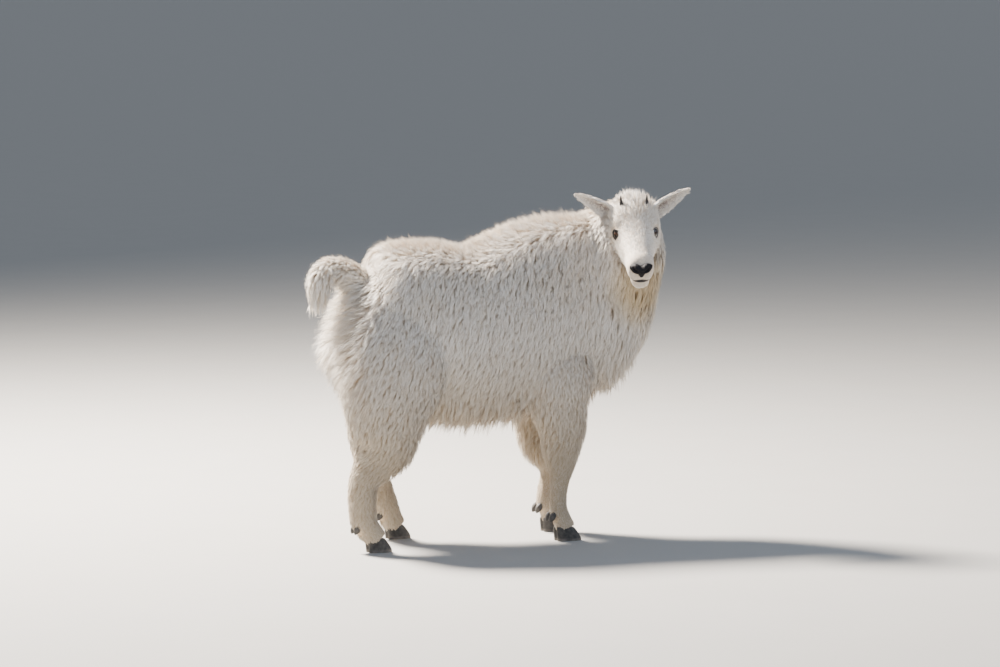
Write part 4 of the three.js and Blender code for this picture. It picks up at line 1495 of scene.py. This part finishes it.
def make_lips(skin):
    """Dark lips along the line of the mouth, fullest in the middle of the lower one."""
    bm = bmesh.new()
    tree = face_tree(skin)
    turns = np.linspace(-1, 1, LIP_POINTS)
    middle = np.exp(-((turns / 0.34) ** 4))
    upper, lower = [], []
    for turn, arch in zip(turns, middle):
        far = LIP_BACK * abs(turn) ** 1.35
        start = np.array([LIP_FRONT - far, turn * LIP_OUT, MOUTH_HEIGHT - LIP_DROP + 0.04 * far])
        towards = (-1.0, -turn * 2.2, 0.0)
        upper.append(on_face(tree, start + np.array([0, 0, 1.2 + 4.2 * arch]), towards))
        lower.append(on_face(tree, start + np.array([0, 0, -0.2 + 1.6 * arch]), towards))
    ends = np.cos(turns * 0.98 * np.pi / 2) ** 0.4
    tube(bm, upper, 0.7 * MM * ends, flat=0.8)
    tube(bm, lower, (0.9 + 2.7 * middle) * MM * ends, flat=0.9)
    add_object("lips", mesh_from(bm, "lips"), [lip_material()], "nose")


# A horn from below its root to the tip: forward, out, height and radius in the head's frame.
HORN_STATIONS = np.array(
    [
        (-25, 21, 22, 4.8),
        (-27, 21.8, 32, 4.2),
        (-30, 22.3, 35 + HORN_LENGTH * 0.5, 3.0),
        (-35, 23, 38 + HORN_LENGTH, 0.7),
    ]
)
HORN_ROWS = 26
HORN_COLUMNS = 20


def make_horns():
    """Two short dark horn spikes with growth rings."""
    bm = bmesh.new()
    layer = bm.loops.layers.uv.new("Growth")
    turn = np.arange(HORN_COLUMNS) * 2 * np.pi / HORN_COLUMNS
    for side in (1, -1):
        rings = []
        for share in np.linspace(0, 1, HORN_ROWS):
            x, y, z, radius = spline(HORN_STATIONS, share)
            ring = radius * (1 + 0.035 * math.sin(share * 60) * (1 - share))
            tilted = z + 0.35 * ring * np.cos(turn)
            level = np.column_stack([x + ring * np.cos(turn), side * y + ring * np.sin(turn), tilted])
            rings.append(from_head(level))
        loft(bm, rings)
    low = HORN_STATIONS[0, 2]
    for face in bm.faces:
        for loop in face.loops:
            height = in_head(np.array(loop.vert.co)[None])[0, 2]
            loop[layer].uv = (0.5, (height - low) / (HORN_LENGTH + 12))
    add_object("horns", mesh_from(bm, "horns"), [horn_material()], "horn", "horn_left", "horn_right")


# A claw from the sole up: height, share of its full size, and shift to the front.
CLAW_LEVELS = np.array(
    [(0, 0.95, 0), (0.8, 1, 0), (7, 0.98, -1), (15, 0.88, -4), (22, 0.76, -7), (25, 0.66, -8)]
)
CLAW_ROWS = 12
CLAW_COLUMNS = 32
CLAW_WIDTH = 14
# A claw's middle lies this far before its foot's place and beside its middle.
CLAW_FORWARD = 4
CLAW_SPREAD = 7.4


def claw_rings(x, y, length):
    """A hoof claw as level rings, pointed at the toe, from the sole up."""
    turn = np.arange(CLAW_COLUMNS) * 2 * np.pi / CLAW_COLUMNS
    toe = np.maximum(0, np.cos(turn))
    rings = []
    for share in np.linspace(0, 1, CLAW_ROWS):
        z, scale, shift = spline(CLAW_LEVELS, share)
        along = x + shift + length / 2 * scale * np.cos(turn)
        across = y + CLAW_WIDTH / 2 * math.sqrt(max(scale, 0.05)) * np.sin(turn) * (1 - 0.35 * toe**2)
        rings.append(world(np.column_stack([along, across, np.full(CLAW_COLUMNS, z)])))
    return rings


def make_hooves():
    """Two claws and two dewclaws on each foot."""
    bm = bmesh.new()
    names = []
    for leg, foot in zip(LEGS, (FORE_FOOT, HIND_FOOT)):
        for word, side in SIDES.items():
            for toe, where in ((-1, "inner"), (1, "outer")):
                beside = side * (foot["track"] + toe * CLAW_SPREAD)
                loft(bm, claw_rings(foot[word] + CLAW_FORWARD, beside, foot["length"]))
                names += [f"{leg}_{word}_claw_{where}", f"{leg}_{word}_dewclaw_{where}"]
    turn = Matrix.Rotation(DEWCLAW_LEAN, 3, "Y")
    long, wide, high = DEWCLAW_SIZE
    for middle in dewclaw_places():
        made = bmesh.ops.create_uvsphere(bm, u_segments=16, v_segments=12, radius=1.0)["verts"]
        for vert in made:
            sharp = 1 - 0.25 * max(0, -vert.co.z)
            local = Vector((vert.co.x * long * sharp, vert.co.y * wide * sharp, vert.co.z * high))
            vert.co = Vector(world(np.array(turn @ local + Vector(middle))))
    add_object("hooves", mesh_from(bm, "hooves"), [hoof_material()], "hoof", *names)


class GoatSkinSettings(bpy.types.PropertyGroup):
    """Sizes of the skin."""

    voxel: FloatProperty(
        name="Grain",
        description="Size of the skin's faces",
        default=0.0035,
        min=0.002,
        max=0.01,
        unit="LENGTH",
    )


class GoatCoatSettings(bpy.types.PropertyGroup):
    """Sizes of the coat."""

    seed: IntProperty(name="Seed", description="Start of the coat's random draws", default=7)
    density: FloatProperty(
        name="Density", description="Share of the full number of strands", default=1.0, min=0.05
    )
    width: FloatProperty(
        name="Strand width", description="Strand width over the usual one", default=1.0, min=0.1
    )
    curl: FloatProperty(name="Wave", description="How far long strands sway", default=0.0022, unit="LENGTH")


class GoatStageSettings(bpy.types.PropertyGroup):
    """Camera, lights and floor."""

    azimuth: FloatProperty(
        name="Azimuth", description="Camera's turn round the goat, in degrees", default=-22.0
    )
    elevation: FloatProperty(name="Elevation", description="Camera's height angle, in degrees", default=5.0)
    distance: FloatProperty(name="Distance", description="Camera's distance", default=7.0, unit="LENGTH")
    lens: FloatProperty(name="Lens", description="Focal length in millimetres", default=144.0)
    floor: FloatVectorProperty(
        name="Floor", description="Floor colour", subtype="COLOR", size=4, default=linear("a19f9b")
    )


class GOAT_OT_skin(bpy.types.Operator):
    """Build one skin over trunk, neck, head, tail and legs"""

    bl_idname = "goat.skin"
    bl_label = "Skin"

    def execute(self, context):
        make_skin(context.scene.goat_skin)
        return {"FINISHED"}


class GOAT_OT_face(bpy.types.Operator):
    """Build the eyes, lids, nose pad, lips and horns"""

    bl_idname = "goat.face"
    bl_label = "Face"

    def execute(self, context):
        make_eyes()
        make_lids()
        make_nose()
        make_lips(bpy.data.objects["skin"])
        make_horns()
        return {"FINISHED"}


class GOAT_OT_hooves(bpy.types.Operator):
    """Build the claws and dewclaws of the four feet"""

    bl_idname = "goat.hooves"
    bl_label = "Hooves"

    def execute(self, context):
        make_hooves()
        return {"FINISHED"}


class GOAT_OT_coat(bpy.types.Operator):
    """Grow the coat over the skin"""

    bl_idname = "goat.coat"
    bl_label = "Coat"

    def execute(self, context):
        hide = Hide(bpy.data.objects["skin"].data)
        comb(hide)
        make_coat(hide, context.scene.goat_coat)
        return {"FINISHED"}


class GOAT_OT_ears(bpy.types.Operator):
    """Build both ears with their hair"""

    bl_idname = "goat.ears"
    bl_label = "Ears"

    def execute(self, context):
        facing, rim = make_ears()
        ear_coat(facing, rim, context.scene.goat_coat)
        return {"FINISHED"}


def area_light(name, place, target, size, power, colour):
    """A soft lamp that looks at a target."""
    lamp = bpy.data.lights.new(name, "AREA")
    lamp.shape = "DISK"
    lamp.size = size
    lamp.energy = power
    lamp.color = colour[:3]
    obj = bpy.data.objects.new(name, lamp)
    obj.location = place
    obj.rotation_euler = (Vector(target) - Vector(place)).to_track_quat("-Z", "Y").to_euler()
    bpy.context.scene.collection.objects.link(obj)


# The design origin is seen at this pixel of the picture, and one pixel is this many millimetres there.
ORIGIN_PIXEL = (490.0, 539.3)
PICTURE = (1000, 667)
PIXEL_MM = 1.75
# What the lamps look at, in metres.
LIT_PLACE = (0, 0, 0.32)
# Lamps from there: metres towards the camera, to its right and up, then size, power and colour.
# The sun stands high behind the goat, to the camera's left; the sky fills from the front.
LAMPS = {
    "sun_side": (-1.2, -1.7, 2.5, 0.8, 1300, "fff5ea"),
    "sky_front": (2.6, -0.6, 1.9, 2.6, 30, "cddffb"),
    "sky_right": (0.8, 2.4, 1.4, 2.0, 18, "cddffb"),
}
# The floor reaches this far each way, and the camera sees this far, in metres.
FLOOR_SIZE = 900.0
VIEW_DEPTH = 3000.0


def add_camera(settings):
    """The camera at the picture's angle, distance and framing."""
    turn, tilt = math.radians(settings.azimuth), math.radians(settings.elevation)
    back = Vector((math.sin(turn) * math.cos(tilt), -math.cos(turn) * math.cos(tilt), math.sin(tilt)))
    right = Vector((math.cos(turn), math.sin(turn), 0))
    up = back.cross(right)
    across = (PICTURE[0] / 2 - ORIGIN_PIXEL[0]) * PIXEL_MM * MM
    above = (ORIGIN_PIXEL[1] - PICTURE[1] / 2) * PIXEL_MM * MM
    aim = Vector(world(np.zeros(3))) + right * across + up * above
    data = bpy.data.cameras.new("camera")
    data.lens = settings.lens
    data.sensor_width = 36.0
    data.clip_end = VIEW_DEPTH
    camera = bpy.data.objects.new("camera", data)
    camera.location = aim + back * settings.distance
    camera.rotation_euler = (-back).to_track_quat("-Z", "Y").to_euler()
    bpy.context.scene.collection.objects.link(camera)
    bpy.context.scene.camera = camera
    return back, right


class GOAT_OT_stage(bpy.types.Operator):
    """Set the camera, the lights and a plain floor"""

    bl_idname = "goat.stage"
    bl_label = "Stage"

    def execute(self, context):
        settings = context.scene.goat_stage
        back, right = add_camera(settings)
        bm = bmesh.new()
        bmesh.ops.create_grid(bm, x_segments=8, y_segments=8, size=FLOOR_SIZE)
        floor = bpy.data.objects.new("floor", mesh_from(bm, "floor"))
        context.scene.collection.objects.link(floor)
        floor.data.materials.append(floor_material(tuple(settings.floor)))
        target = Vector(LIT_PLACE)
        towards = Vector((back.x, back.y, 0)).normalized()
        for name, (near, beside, above, size, power, colour) in LAMPS.items():
            place = target + towards * near + right * beside + Vector((0, 0, above))
            area_light(name, place, target, size, power, linear(colour))
        sky = bpy.data.worlds.new("studio")
        sky.use_nodes = True
        light = sky.node_tree.nodes["Background"]
        light.inputs["Color"].default_value = linear("c3cddb")
        light.inputs["Strength"].default_value = 0.75
        context.scene.world = sky
        return {"FINISHED"}


class GOAT_PT_panel(bpy.types.Panel):
    """Lists the goat's pieces and sizes"""

    bl_label = "Mountain Goat Kid"
    bl_space_type = "VIEW_3D"
    bl_region_type = "UI"
    bl_category = "Goat"

    def draw(self, context):
        scene = context.scene
        for settings in (scene.goat_skin, scene.goat_coat, scene.goat_stage):
            for name in settings.__annotations__:
                self.layout.prop(settings, name)
        for operator in OPERATORS:
            self.layout.operator(operator.bl_idname)


OPERATORS = (GOAT_OT_stage, GOAT_OT_skin, GOAT_OT_face, GOAT_OT_hooves, GOAT_OT_coat, GOAT_OT_ears)
SETTINGS = {"goat_skin": GoatSkinSettings, "goat_coat": GoatCoatSettings, "goat_stage": GoatStageSettings}


def register():
    """Adds the classes and the scene's settings."""
    for group in SETTINGS.values():
        bpy.utils.register_class(group)
    for operator in OPERATORS:
        bpy.utils.register_class(operator)
    bpy.utils.register_class(GOAT_PT_panel)
    for name, group in SETTINGS.items():
        setattr(bpy.types.Scene, name, PointerProperty(type=group))


def unregister():
    """Takes the classes and the scene's settings away."""
    for name in SETTINGS:
        delattr(bpy.types.Scene, name)
    bpy.utils.unregister_class(GOAT_PT_panel)
    for operator in reversed(OPERATORS):
        bpy.utils.unregister_class(operator)
    for group in reversed(list(SETTINGS.values())):
        bpy.utils.unregister_class(group)


def main():
    """Builds the whole goat."""
    register()
    bpy.ops.goat.stage()
    bpy.ops.goat.skin()
    bpy.ops.goat.face()
    bpy.ops.goat.hooves()
    bpy.ops.goat.coat()
    bpy.ops.goat.ears()


if __name__ == "__main__":
    main()
